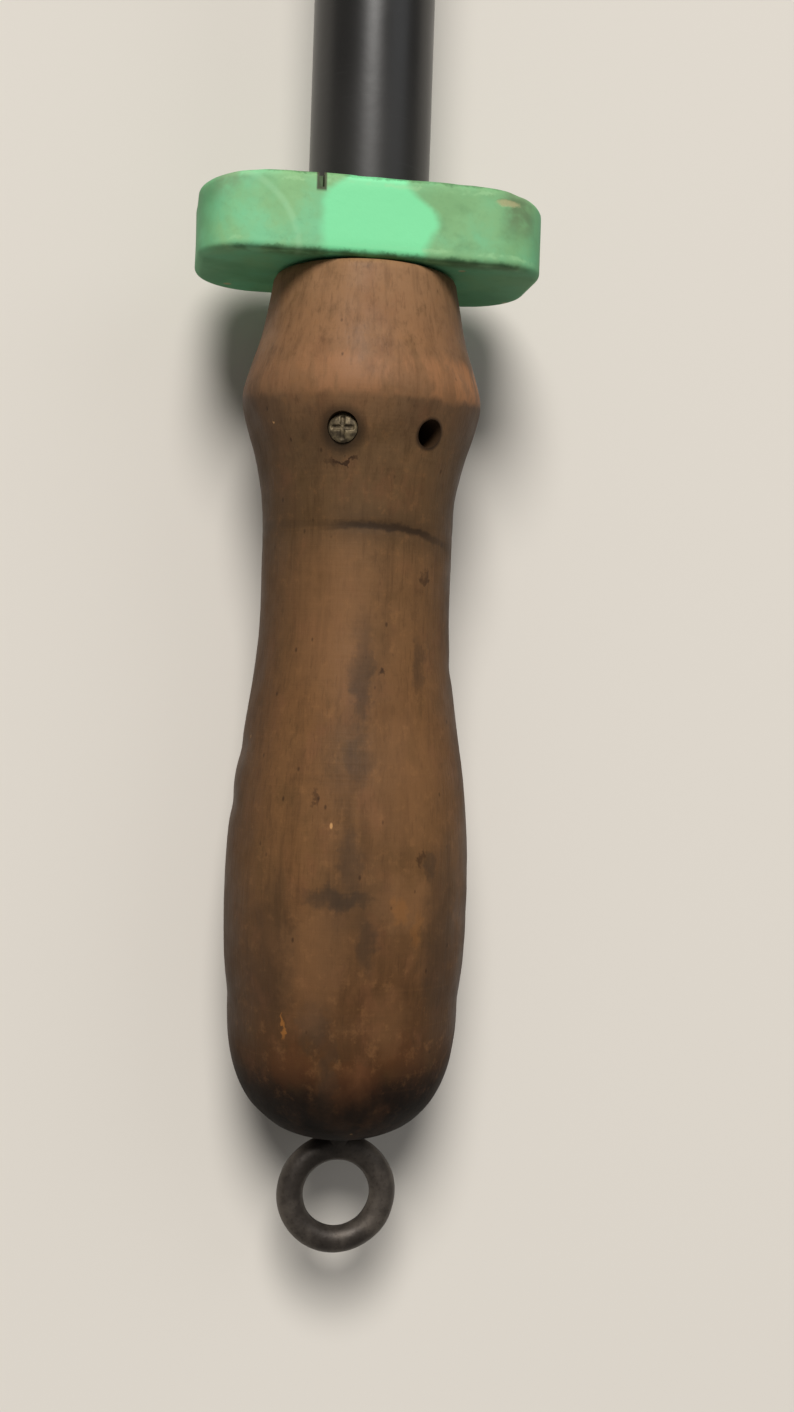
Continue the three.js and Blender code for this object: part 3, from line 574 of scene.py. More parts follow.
def guard_mint():
    """Mint paint on wood: one clean rubbed patch, grime along the edges and an old arc scratch."""
    make = Finish("guard_mint", specular=0.3)
    x = make.x
    far = make.y - GUARD_FAR
    near = GUARD_NEAR - make.y
    face = make.z.band(GUARD_HALF_DEPTH - 0.005, GUARD_HALF_DEPTH - 0.0015)
    soft = make.noise(120, 4, 0.58, 0.2)
    broad = make.noise(62, 4, 0.55, 0.3, stretch=(1, 1.3, 1))
    fine = make.noise(900, 4, 0.65)
    make.base(soft.band(0.35, 0.65), (122, 196, 146), (136, 186, 130))
    broad.tint(0.45, 0.65, 0.65, (120, 166, 112))
    fine.tint(0.5, 0.8, 0.22, (96, 140, 98))

    # The clean patch between two slanting edges, and the grime around it.
    place = x + (soft - 0.5) * 0.004
    left = far.band(0, 0.003, 0.0058, 0.0084) - place
    right = place - far.band(0, 0.0065, -0.0039, -0.0087) - far.band(0.0065, 0.0115, 0, 0.0018)
    clean = left.least(right).band(-0.0009, 0.0011) * face
    make.lay(clean * 0.94, (126, 224, 162))
    grimy = 1 - clean
    smears = make.noise(210, 3, 0.55, 0.1, stretch=(1, 1.3, 1))
    make.lay(smears.band(0.5, 0.78) * grimy * x.band(0.004, -0.016, 0.12, 0.5), (82, 122, 82))
    make.lay(x.band(0, -0.02, 0, 0.3) * grimy, (100, 150, 104))
    corner = x.band(-0.0175, -0.0205) * far.band(0.009, 0.004) * face
    make.lay(corner * smears.band(0.36, 0.56, 0.2, 0.75), (98, 118, 84))
    left_corner = x.band(0.017, 0.024) * far.band(0.006, 0.001)
    make.lay(left_corner * smears.band(0.4, 0.6, 0.1, 0.7), (120, 132, 98))

    # A dark line along the far and near edges, a pale one beside it, and darker, greener sides.
    rim = far.least(near) + (fine - 0.5) * 0.0016
    edge = rim.band(0.0002, 0.0008, 1, 0) * smears.band(0.36, 0.6, 0.2, 0.75)
    make.lay(edge * face, (66, 108, 68))
    pale_line = rim.band(0.0009, 0.0013) * rim.band(0.0019, 0.0014) * face
    make.lay(pale_line * smears.band(0.5, 0.42, 0.05, 0.35), (166, 214, 158))
    make.lay((1 - face) * broad.band(0.4, 0.65, 0.1, 0.6), (76, 134, 92))
    make.lay((1 - face) * 0.4, (72, 150, 104))

    # The arc scratch, flaked and chipped paint, and the kerf's dark walls.
    arc = abs(((x - 0.024) ** 2 + (far - 0.0122) ** 2).root() - 0.0119)
    scratch = arc.band(0.0001, 0.0008, 0.32, 0) * face * x.band(0.0095, 0.0125)
    scratch = scratch * x.band(0.0225, 0.02) * soft.band(0.35, 0.55, 0.4, 1)
    make.lay(scratch, (160, 212, 164))
    flake_x = (x + 0.0196) / 0.0021
    flake_y = (far - 0.0026) / 0.0006 + (soft - 0.5) * 3
    flake = flake_x * flake_x + flake_y * flake_y + (fine - 0.5) * 2.5
    flake = flake.band(0.1, 1.3, 0.8, 0) * face
    chip = make.cells(150).band(0.05, 0.13, 1, 0) * rim.band(0.0006, 0.0016, 1, 0)
    chip = chip.most(flake)
    make.lay(chip, (172, 168, 124))
    kerf = abs(x - KERF_X).band(0.0009, 0.0006) * face * far.band(0.0032, 0.0026)
    make.lay(kerf * 0.9, (58, 50, 34))
    make.rough(clean.slope(0, 1, 0.66, 0.52))
    return make.bump(fine * 0.4 + soft * 0.5 - chip, 0.1)


def patina_iron():
    make = Finish("patina_iron", metallic=0.55)
    wide = make.noise(180, 5, 0.6)
    fine = make.noise(1500, 3, 0.6)
    make.base(wide.band(0.35, 0.7), (58, 52, 47), (92, 84, 76))
    fine.tint(0.5, 0.75, 0.5, (40, 33, 28))
    make.rough(wide.slope(0.3, 0.7, 0.42, 0.62))
    return make.bump(fine + wide, 0.06)


def corroded_brass():
    make = Finish("corroded_brass", metallic=0.6)
    wide = make.noise(900, 5, 0.65)
    make.base(wide.band(0.36, 0.66), (68, 58, 43), (124, 110, 84))
    make.rough(wide.slope(0.3, 0.7, 0.7, 0.5))
    return make.bump(wide, 0.08)


def black_enamel():
    """Stoved paint with faint unevenness, scuffs and a few chips to the metal beneath."""
    make = Finish("black_enamel")
    wide = make.noise(14, 4, 0.6)
    make.base(wide.band(0.3, 0.7), (26, 25, 24), (38, 36, 34))
    scuffs = make.noise((60, 900, 60), 4, 0.7)
    scuffs.tint(0.6, 0.8, 0.35, (69.4, 68.75, 68.1))
    chip = make.noise(60, 8, 0.72).band(0.69, 0.702)
    make.lay(chip, (92, 74, 58))
    dulled = wide.slope(0.3, 0.7, 0.3, 0.46)
    make.rough(dulled + chip * 0.2)
    return make.bump(make.noise(420, 3, 0.5) * 0.25 - chip, 0.12, 0.5)


def case_green(name, edges_worn):
    """The case's green paint: rubbed pale on top, grimy towards the hem and chipped here and there."""
    make = Finish(name)
    cloud = make.noise(9, 5, 0.62, 0.3)
    spots = make.noise(55, 6, 0.68)
    fine = make.noise(340, 5, 0.7)
    make.base(cloud.band(0.34, 0.66), (104, 178, 128), (124, 186, 134))
    spots.tint(0.5, 0.74, 0.35, (92, 152, 106))
    rubs = make.noise((9, 60, 60), 6, 0.7, 0.4)
    rubs.tint(0.56, 0.72, 0.5, (146, 204, 156))
    hair_lines = make.noise((24, 1300, 1300), 3, 0.6, turn=(0, 0.03, 0.1))
    hair_lines.tint(0.66, 0.76, 0.5, (168, 212, 170))
    cross_lines = make.noise((1100, 20, 1100), 3, 0.6, turn=(0.1, 0, -0.5))
    cross_lines.tint(0.69, 0.78, 0.45, (80, 128, 92))
    climb = make.z + (spots - 0.5) * 0.05
    make.lay(climb.band(SHELL_HEM + 0.03, SHELL_HEM + 0.002) * 0.75, (74, 92, 66))
    chipping = make.noise(30, 9, 0.74)
    bare = chipping.band(0.735, 0.745)
    if edges_worn:
        edge = (SHELL_RIGHT - abs(make.x)).least(make.z - SHELL_HEM)
        ragged = edge + (spots - 0.46) * 0.014
        bare = bare.most(ragged.band(0.0022, 0.0004) * fine.band(0.42, 0.5))
    chipping.tint(0.72, 0.735, 0.6, (152, 190, 150))
    make.lay(bare, make.mix(fine.band(0.4, 0.6), (70, 58, 46), (104, 78, 54)))
    make.noise(700, 3, 0.7).tint(0.6, 0.8, 0.3, (160, 176, 146))
    dulled = cloud.slope(0.3, 0.7, 0.3, 0.48)
    make.rough(dulled + bare * 0.25)
    peel = make.noise(420, 3, 0.5) * 0.22
    return make.bump(peel + hair_lines * -0.15 - bare, 0.14)


def plated_steel():
    make = Finish("plated_steel", metallic=0.9)
    wide = make.noise(90, 5, 0.62)
    make.base(wide.band(0.35, 0.65), (150, 147, 140), (104, 99, 91))
    brushed = make.noise((1400, 70, 1400), 3, 0.6)
    brushed.tint(0.45, 0.7, 0.25, (196, 192, 184))
    spots = make.noise(260, 6, 0.7)
    spots.tint(0.7, 0.78, 0.8, (92, 58, 34))
    make.rough(wide.slope(0.3, 0.7, 0.28, 0.5))
    return make.bump(brushed + spots, 0.03)


def old_rubber():
    make = Finish("old_rubber")
    wide = make.noise(45, 5, 0.62)
    make.base(wide.band(0.35, 0.7), (34, 32, 31), (62, 58, 54))
    dust = make.noise(900, 4, 0.7)
    dust.tint(0.55, 0.8, 0.5, (104, 98, 90))
    make.rough(wide.slope(0.3, 0.7, 0.7, 0.9))
    return make.bump(wide + dust, 0.08)


def beech():
    make = Finish("bare_beech")
    lines = make.noise((22, 420, 420), 5, 0.62, 0.3)
    flecks = make.noise((240, 1500, 1500), 3, 0.6)
    make.base(lines.band(0.35, 0.68), (196, 158, 108), (150, 110, 70))
    flecks.tint(0.55, 0.72, 0.6, (110, 76, 46))
    make.rough(lines.slope(0.3, 0.7, 0.58, 0.75))
    return make.bump(lines + flecks, 0.08)


def hair():
    make = Finish("hair_bristle", roughness=0.6)
    spread = make.noise(900, 3, 0.6)
    make.base(spread.band(0.35, 0.65), (38, 30, 24), (92, 72, 52))
    return make.bump(spread, 0.05, 0.4)


WOOD = grip_wood()
MINT = guard_mint()
IRON = patina_iron()
BRASS = corroded_brass()
BLACK = black_enamel()
GREEN = case_green("case_green", True)
PANEL_GREEN = case_green("panel_green", False)
STEEL = plated_steel()
RUBBER = old_rubber()
BEECH = beech()
HAIR = hair()
FINISH_OF_SLOT = {
    "green_paint": PANEL_GREEN,
    "black_paint": BLACK,
    "plain_wood": BEECH,
    "plated_steel": STEEL,
    "black_rubber": RUBBER,
}

# ---------------- grip

# Distance from the grip's top face and radius there, in millimetres.
GRIP_SHAPE_MM = [
    (0.9, 14.5), (4, 15), (10, 16.2), (16, 18.1), (19.5, 18.8), (23, 18.2), (29, 16.4), (36, 15.2),
    (46, 14.95), (55, 15), (62, 15.6), (70, 16.7), (79, 18.1), (89, 19), (98, 19.2), (107, 18.9), (113, 18.2),
]
BODY_START_MM = 0.9
BODY_STEP_MM = 0.7
DOME_START_MM = 113
DOME_RADIUS_MM = 18.2
DOME_POWER = 2.6
DOME_STEPS = 34
GRIP_LENGTH_MM = (GRIP_END - GRIP_TOP) / MM
BORE_RADIUS_MM = TUBE_RADIUS / MM + 0.3
# Nicks in the grip's sides: distance from the top face in millimetres, turn in radians, depth in millimetres.
NICKS = [(74.5, 1.5, 0.5), (83, 1.55, 0.4), (61, -1.35, 0.25), (99, -1.1, 0.2)]


def grip_radius(station):
    """Radius in millimetres at a distance from the top face: body, then a blunt dome."""
    if station <= DOME_START_MM:
        return hermite(GRIP_SHAPE_MM, station)
    share = (station - DOME_START_MM) / (GRIP_LENGTH_MM - DOME_START_MM)
    return DOME_RADIUS_MM * max(1 - share ** DOME_POWER, 0) ** (1 / DOME_POWER)


def grip_stations():
    steps = int((DOME_START_MM - BODY_START_MM) / BODY_STEP_MM) + 1
    body = [BODY_START_MM + index * BODY_STEP_MM for index in range(steps)]
    reach = GRIP_LENGTH_MM - DOME_START_MM
    turns = [index / DOME_STEPS * QUARTER for index in range(1, DOME_STEPS)]
    return body + [DOME_START_MM + reach * sin(turn) ** (2 / DOME_POWER) for turn in turns]


def turn_between(first, second):
    return atan2(sin(first - second), cos(first - second))


def wear(station, turn, radius):
    """How far the worn surface lies below the turned one, in millimetres."""
    place = Vector((radius * sin(turn), station, radius * cos(turn)))
    dents = max(noise.noise(place * 0.13) - 0.28, 0) * 0.5
    ripple = 0.02 * noise.noise(place * 0.6)
    path = CRACK_MM + 0.7 * noise.noise(Vector((turn * 1.7, 3.1, 0))) + 0.5 * sin(turn * 1.3)
    open_part = 0.12 + 0.75 * exp(-((turn_between(turn, -0.3) / 0.55) ** 2))
    crack = 0.26 * open_part * exp(-((station - path) / 0.38) ** 2)
    nick = 0.0
    for at, towards, deep in NICKS:
        away = ((station - at) / 2.0) ** 2 + (turn_between(turn, towards) / 0.22) ** 2
        nick += deep * exp(-away)
    return dents + ripple + crack + nick


def build_grip():
    def place(point, turn):
        radius, station = point
        if station > 0.5:
            radius -= min(wear(station, turn, radius), radius * 0.1)
        return (radius * MM * sin(turn), GRIP_TOP + station * MM, radius * MM * cos(turn))

    bore_end = (span("upper_tube")[1] + 1 * MM - GRIP_TOP) / MM
    points = [(0.2, bore_end), (BORE_RADIUS_MM, bore_end), (BORE_RADIUS_MM, 0.0), (13.4, 0.0), (14.1, 0.25)]
    points += [(grip_radius(station), station) for station in grip_stations()]
    vertices, faces = rings_of(points + [(0.05, GRIP_LENGTH_MM)], 160, place, capped=True)
    piece = mesh_piece("wood_grip", vertices, faces, WOOD, HANDLE)
    cut(piece, drill(SCREW_TURN, 2.28, 2.36, 15.4))
    cut(piece, drill(SCREW_TURN, 1.6, 1.6, 6))
    cut(piece, drill(SPARE_TURN, 1.95, 2.15, 12.5))
    cut(piece, mesh_piece("cutter", *ring_mesh(EYE_RADIUS, EYE_WIRE + 0.25 * MM, 64, 20), WOOD, HANDLE))
    smoothed(piece.data, 40)
    settle(piece, "grip")


def at_screw(turn, x, y, z):
    """A place in millimetres about the screw's station, tipped round the handle's axis."""
    point = Vector((x, y, z)) * MM
    point.rotate(Euler((0, turn, 0)))
    point.y += GRIP_TOP + SCREW_STATION_MM * MM
    return point


def drill(turn, radius, mouth, bottom):
    """A round cutter for a hole at the screw's station, slightly wider at its mouth; in millimetres."""
    surface = grip_radius(SCREW_STATION_MM)

    def place(level, spin):
        height, wide = level
        return at_screw(turn, *polar(wide, spin), height)

    levels = [(bottom, radius), (surface - 0.9, radius), (surface + 0.3, mouth), (30, mouth)]
    return mesh_piece("cutter", *rings_of(levels, 28, place, capped=True), WOOD, HANDLE)


def ring_mesh(radius, wire, around, across, flatten=1.0, wobble=0.0):
    vertices = []
    for step in range(around):
        turn = 2 * pi * step / around
        for part in range(across):
            spin = 2 * pi * part / across
            swell = 1 + wobble * noise.noise(Vector((cos(turn) * 2, sin(turn) * 2, spin)))
            reach = radius + wire * swell * cos(spin)
            height = wire * flatten * swell * sin(spin)
            vertices.append((reach * sin(turn), EYE_CENTRE + reach * cos(turn), height))
    return vertices, quads(around, across, closed=True)


def build_eye():
    """The hanging ring, slightly uneven, and its shank in the wood."""
    ring = mesh_piece("hanging_ring", *ring_mesh(EYE_RADIUS, EYE_WIRE, 120, 36, 0.96, 0.03), IRON, HANDLE)
    settle(ring, "screw_eye")
    start = EYE_CENTRE - EYE_RADIUS
    slim, point = EYE_WIRE * 0.8, 0.1 * MM
    shank = [(point, -24), (0.8 * MM, -23), (slim, -18), (slim, -3)]
    shank += [(EYE_WIRE, -1.5), (EYE_WIRE, 0), (point, 0)]
    profile = [(radius, start + back * MM) for radius, back in shank]
    settle(turned("ring_shank", profile, 24, IRON, HANDLE), "screw_eye", replaces=False)


def build_screw():
    """A round-headed wood screw with a worn cross recess."""
    rings = 22
    head_radius = 2.2
    shank_radius = 1.3
    seat = grip_radius(SCREW_STATION_MM) - 0.75

    def height(reach, turn):
        dome = 0.95 * sqrt(max(1 - (0.93 * reach / head_radius) ** 2, 0))
        arm = min(abs(sin(turn)), abs(cos(turn))) * reach
        slot = exp(-((arm / 0.34) ** 4)) * (1 if reach < 1.5 else exp(-((reach - 1.5) / 0.22) ** 2))
        dents = noise.noise(Vector((*polar(reach, turn), 4.2)) * 1.9)
        return seat + dome - 0.34 * slot + 0.05 * dents

    def place(point, turn):
        reach, level = point
        top = height(reach, turn) if level is None else level
        return at_screw(SCREW_TURN, *polar(reach, turn), top)

    points = [(head_radius * ring / rings, None) for ring in range(1, rings + 1)]
    points += [(head_radius, seat - 0.1), (shank_radius, seat - 1.2), (shank_radius, 7), (0.1, 4.6)]
    vertices, faces = rings_of(points, 96, place, capped=True)
    settle(mesh_piece("grip_screw_head", vertices, faces, BRASS, HANDLE, 50), "grip_screw")


# ---------------- guard block


def rounded_outline(half_width, half_depth, corner, steps):
    """Points around a rectangle with round corners, counter-clockwise, evenly spread along it."""
    fine = []
    for quarter in range(4):
        middle_x = (half_width - corner) * (1 if quarter in (0, 3) else -1)
        middle_z = (half_depth - corner) * (1 if quarter in (0, 1) else -1)
        for step in range(33):
            turn = (quarter + step / 32) * QUARTER
            x, z = polar(corner, turn)
            fine.append(Vector((middle_x + x, middle_z + z)))
    fine.append(fine[0].copy())
    lengths = [0.0]
    for first, second in zip(fine, fine[1:]):
        lengths.append(lengths[-1] + (second - first).length)
    points = []
    place = 0
    for step in range(steps):
        target = lengths[-1] * step / steps
        while lengths[place + 1] < target:
            place += 1
        width = max(lengths[place + 1] - lengths[place], 1e-12)
        points.append(fine[place].lerp(fine[place + 1], (target - lengths[place]) / width))
    return points


def build_guard():
    """A block with round corners and softened edges, its far side worn back towards both ends."""
    steps = 220
    outline = rounded_outline(GUARD_HALF_WIDTH, GUARD_HALF_DEPTH, 9.5 * MM, steps)
    bore = TUBE_RADIUS + 0.3 * MM
    edge = 1.1 * MM
    crown = 1.3 * MM
    thickness = GUARD_NEAR - GUARD_FAR

    # A loop around the block: its share of the way out from the bore, then its depth from a face and inset.
    flat = (0.0, 0.35, 0.7, 0.93)
    turns = [part / 6 * QUARTER for part in range(7)]
    arc = [(edge * (1 - cos(turn)), edge * (1 - sin(turn))) for turn in turns]
    loops = [(share, "far", 0.0, edge) for share in flat]
    loops += [(1, "far", less, more) for less, more in arc]
    loops += [(1, "side", edge + (thickness - 2 * edge) * part / 7, 0.0) for part in range(1, 7)]
    loops += [(1, "near", more, less) for less, more in arc]
    loops += [(share, "near", 0.0, edge) for share in reversed(flat)]

    vertices = []
    for share, face, depth, inset in loops:
        for point in outline:
            direction = point.normalized()
            border = point - direction * inset
            spot = border if share == 1 else (direction * bore).lerp(border, share)
            sunk = crown * max(abs(spot.x) / GUARD_HALF_WIDTH - 0.3, 0) ** 2 * 1.9
            rough = noise.noise(Vector((point.x, point.y, 0)) * 260) * 0.22 * MM
            if face == "near":
                y = GUARD_NEAR - depth
            elif face == "far":
                y = GUARD_FAR + depth + sunk + max(rough, 0)
            else:
                y = GUARD_FAR + depth + sunk * (1 - depth / thickness)
            if share == 1:
                bow = noise.noise(Vector((spot.x, y, spot.y)) * 90) * 0.18 * MM
                spot = spot * (1 - max(bow, 0) / max(spot.length, 1e-6))
            vertices.append((spot.x, y, spot.y))
    faces = quads(len(loops), steps, closed=True)
    piece = mesh_piece("mint_guard", vertices, faces, MINT, HANDLE)
    half = 0.4 * MM
    deep = 2.4 * MM
    low = (KERF_X - half, GUARD_FAR - 2 * MM, GUARD_HALF_DEPTH - deep)
    high = (KERF_X + half, GUARD_FAR + deep, GUARD_HALF_DEPTH + 2 * MM)
    cut(piece, block(low, high, MINT, HANDLE))
    smoothed(piece.data, 40)
    settle(piece, "hand_guard")


# ---------------- tubes


def build_tubes():
    inner = TUBE_RADIUS - 1.2 * MM
    lip = 0.4 * MM
    parts = 24
    for node in ("lower_tube", "upper_tube"):
        start, end = span(node)
        profile = [(inner, start), (TUBE_RADIUS - lip, start), (TUBE_RADIUS, start + lip)]
        profile += [(TUBE_RADIUS, start + (end - start) * part / parts) for part in range(1, parts)]
        profile += [(TUBE_RADIUS, end - lip), (TUBE_RADIUS - lip, end), (inner, end)]
        settle(turned(node + "_pipe", profile, 72, BLACK, HANDLE), node)


# ---------------- case


def case_outline(inset, bottom):
    """Side outline of the case as (y, z): a wall, a round shoulder, the flat top, and back down."""
    wall_steps, shoulder_steps, roof_steps = 6, 28, 5
    radius = SHOULDER - inset
    middle = SHELL_HALF_DEPTH - SHOULDER
    foot = SHELL_TOP - SHOULDER
    rise = [bottom + (foot - bottom) * step / wall_steps for step in range(wall_steps)]
    half = [(SHELL_HALF_DEPTH - inset, z) for z in rise]
    for step in range(shoulder_steps + 1):
        turn = step / shoulder_steps * QUARTER
        half.append((middle + radius * cos(turn), foot + radius * sin(turn)))
    roof = [(middle * (1 - 2 * step / roof_steps), SHELL_TOP - inset) for step in range(1, roof_steps)]
    return half + roof + [(-y, z) for y, z in reversed(half)]


def swept(name, section, stations, material, place):
    """A closed section carried through stations, with flat ends; place gives each point."""
    count = len(section)
    vertices = [place(station, point) for station in stations for point in section]
    faces = quads(len(stations), count)
    end = tessellate_polygon([[Vector((0, y, z)) for y, z in section]])
    last = len(vertices) - count
    faces += [tuple(triangle) for triangle in end]
    faces += [tuple(last + corner for corner in triangle) for triangle in end]
    return mesh_piece(name, vertices, faces, material, HEAD, 35)


def build_shell():
    """The bent sheet: rolled hems, a pressed bead along each shoulder and small dents."""
    roll = 1.3 * MM
    hem = []
    for step in range(9):
        turn = pi * (1.5 - step / 8 * 1.55)
        hem.append((SHELL_HALF_DEPTH + roll * cos(turn), SHELL_HEM + roll * (1 + sin(turn))))
    outer = case_outline(0, SHELL_HEM + 4 * MM)
    inner = case_outline(SHEET, SHELL_HEM + 2 * roll)
    left_hem = [(-y, z) for y, z in reversed(hem)]
    section = hem + outer + left_hem + list(reversed(inner))
    length = SHELL_RIGHT - SHELL_LEFT
    count = 60
    stations = [SHELL_LEFT + length * step / count for step in range(count + 1)]
    bead_y = SHELL_HALF_DEPTH - SHOULDER + 14 * MM
    bead_height, bead_width = 0.9 * MM, 3.2 * MM
    bead_inset, bead_run_out = 14 * MM, 8 * MM
    dent_depth = 0.5 * MM

    def place(x, point):
        y, z = point
        from_end = min(x - SHELL_LEFT, SHELL_RIGHT - x)
        on_roof = z > SHELL_TOP - SHOULDER
        bead = bead_height * exp(-(((abs(y) - bead_y) / bead_width) ** 2)) if on_roof else 0
        bead *= min(1, max(0, (from_end - bead_inset) / bead_run_out))
        dent = dent_depth * max(0, noise.noise(Vector((x, y, z)) * 17 + Vector((3, 0, 9))) - 0.25)
        return (x, y, z + bead - dent) if z > SHELL_HEM + 10 * MM else (x, y, z)

    shell = swept("green_case", section, stations, GREEN, place)
    yoke_low, yoke_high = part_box("dump_yoke")
    stem = 6.4 * MM
    room = 0.4 * MM
    low = (yoke_low.x - room, -stem, SHELL_TOP - 8 * MM)
    high = (yoke_high.x + room, stem, SHELL_TOP + 8 * MM)
    cut(shell, block(low, high, GREEN, HEAD))
    smoothed(shell.data, 35)
    settle(shell, "case_shell")


def build_end_plate(side):
    """A pressed plate: rolled edge, a raised border and a sunk panel, drilled for its shafts."""
    node = f"end_plate_{side}"
    low, high = span(node, 0, HEAD)
    outer, inner = (high, low) if side == "right" else (low, high)
    lip = -1 * MM
    loops = [(lip + 0.5 * MM, 0), (lip, 0.25), (lip, 0.65), (lip + 0.35 * MM, 0.9), (lip + 0.9 * MM, 1)]
    loops += [(5 * MM, 1), (5.6 * MM, 0.96), (7.2 * MM, 0.62), (7.8 * MM, 0.58), (20 * MM, 0.58)]
    vertices = []
    for inset, share in loops:
        outline = case_outline(inset, SHELL_HEM + max(inset - lip, 0))
        vertices += [(inner + (outer - inner) * share, y, z) for y, z in outline]
    faces = ends(len(vertices), len(outline)) + quads(len(loops), len(outline))
    plate = mesh_piece(f"end_panel_{side}", vertices, faces, PANEL_GREEN, HEAD)
    for shaft, radius_mm in (("pivot_stud", 4.3), ("axle_pin_front", 3.3), ("axle_pin_rear", 3.3)):
        drill_plate(plate, f"{shaft}_{side}", radius_mm * MM)
    for rod in ("front_pan_rod", "rear_pan_rod"):
        drill_plate(plate, rod, 2.9 * MM)
    smoothed(plate.data, 30)
    settle(plate, node)


def drill_plate(plate, shaft, radius):
    """Takes a round hole for a shaft out of an end plate."""
    y = sum(span(shaft, 1, HEAD)) / 2
    z = sum(span(shaft, 2, HEAD)) / 2
    reach = SHELL_RIGHT + 20 * MM

    def place(x, spin):
        return (x, y + radius * cos(spin), z + radius * sin(spin))

    cutter = rings_of([-reach, reach], 24, place, capped=True)
    cut(plate, mesh_piece("cutter", *cutter, PANEL_GREEN, HEAD))


def build_band():
    """The rubber bumper: a ribbed strip around the case with two grooves and a round nose."""
    half_x = span("furniture_band", 0, HEAD)[1]
    half_y = span("furniture_band", 1, HEAD)[1]
    low, high = span("furniture_band", 2, HEAD)
    thick = 7.5 * MM
    profile = [(1, 0.02), (0.45, 0), (0.2, 0.03), (0.05, 0.12), (0, 0.24), (0.06, 0.3), (0.16, 0.33)]
    profile += [(0.16, 0.37), (0.06, 0.4), (0, 0.46)]
    profile += [(out, 1 - up) for out, up in reversed(profile)]
    corners = ((1, 1), (-1, 1), (-1, -1), (1, -1))
    corner_steps = 12
    side_steps = 26
    vertices = []
    for inset, share in profile:
        corner = 8.4 * MM - inset * thick
        wide, deep = half_x - inset * thick - corner, half_y - inset * thick - corner
        z = low + (high - low) * share
        for index, (sx, sy) in enumerate(corners):
            for step in range(corner_steps + 1):
                turn = (index + step / corner_steps) * QUARTER
                x, y = sx * wide + corner * cos(turn), sy * deep + corner * sin(turn)
                vertices.append((x, y, z))
            sx, sy = corners[(index + 1) % 4]
            stop_x, stop_y = sx * wide + corner * cos(turn), sy * deep + corner * sin(turn)
            for step in range(1, side_steps):
                on = step / side_steps
                sag = abs(0.12 * MM * noise.noise(Vector((index * 9.1, on * 14, 0))))
                side_x, side_y = x + (stop_x - x) * on, y + (stop_y - y) * on
                vertices.append((side_x - sag * cos(turn), side_y - sag * sin(turn), z))
    faces = quads(len(profile), len(vertices) // len(profile), closed=True)
    settle(mesh_piece("rubber_bumper", vertices, faces, RUBBER, HEAD, 30), "furniture_band")


# ---------------- wheels, brush, springs and knob

# Radius and distance from a wheel's middle, in millimetres: one side of its disc, and its tyre's ribs.
DISC_MM = [
    (3.4, 8), (7.4, 8), (8, 7.5), (8.3, 3.4), (9.4, 2.4), (12, 2.2), (13.2, 3.2), (15, 3.2),
    (16.2, 2.2), (19.6, 2.1), (20.6, 3.4), (21, 5.6), (21.6, 6.4), (23.6, 6.4), (24, 6),
]
RIB_MM = [(30, 1.2), (30, 0.2), (29.1, -0.1), (29.1, -1.0)]
RIB_PLACES_MM = (4.4, 1.5, -1.4, -4.3)
SIDES = ("left", "right")
CORNERS = [f"{end}_{side}" for end in ("front", "rear") for side in SIDES]


def in_metres(profile):
    return [(radius * MM, along * MM) for radius, along in profile]


def build_wheels():
    disc = DISC_MM + [(radius, -along) for radius, along in reversed(DISC_MM)]
    tread = [(24.3, -7), (24.3, 7), (27.4, 7), (28.6, 6.6)]
    tread += [(radius, place + along) for place in RIB_PLACES_MM for radius, along in RIB_MM]
    tread += [(30, -5.6), (28.6, -6.6), (27.4, -7)]
    for name in CORNERS:
        middle = extent(f"wheel_{name}")[0]
        side = 1 if middle.x > 0 else -1
        matrix = frame_matrix(Vector((0, 0, side)), Vector((side, 0, 0)), Vector((0, 1, 0)), middle)
        wheel = turned(f"wheel_disc_{name}", in_metres(disc), 72, BLACK, matrix, 38)
        settle(wheel, f"wheel_{name}")
        tyre = turned(f"tyre_ring_{name}", in_metres(tread), 96, RUBBER, matrix, 30)
        settle(tyre, f"tyre_{name}")


def build_bristles():
    """Tufts of bristle set in four rows that wind a quarter turn along the core."""
    tufts = 62
    hairs_in_tuft = 21
    foot, tip, hair_radius = 11.2, 34.6, 0.26
    draw = random.Random(7)
    height = sum(span("brush_core", 2, HEAD)) / 2
    for row in range(4):
        node = f"bristle_row_{row + 1}"
        start, end = span(node, 0, HEAD)
        vertices, faces = [], []
        for hair_index in range(tufts * hairs_in_tuft):
            share = (hair_index // hairs_in_tuft + 0.5) / tufts
            x = start + (end - start) * share
            turn = row * QUARTER + QUARTER * share
            lean = draw.gauss(0, 0.05)
            tilt = draw.gauss(0, 0.05)
            root = draw.uniform(-0.09, 0.09)
            reach = tip + draw.uniform(-0.9, 0.3)
            shift = draw.uniform(-1.4, 1.4)
            base = len(vertices)
            for part in (0, 1 / 3, 2 / 3, 1):
                radius = foot + (reach - foot) * part
                angle = turn + root + lean * part * part
                along = x + (shift + tilt * (radius - foot)) * MM
                thick = hair_radius * (1 - 0.45 * part)
                for spin in (0, 2 * pi / 3, 4 * pi / 3):
                    across = thick * cos(spin)
                    y = radius * cos(angle) - across * sin(angle)
                    z = radius * sin(angle) + across * cos(angle)
                    vertices.append((along + thick * sin(spin) * MM, y * MM, height + z * MM))
            strip = quads(4, 3) + [(9, 10, 11), (0, 2, 1)]
            faces += [tuple(base + corner for corner in face) for face in strip]
        settle(mesh_piece(f"hair_row_{row + 1}", vertices, faces, HAIR, HEAD), node)


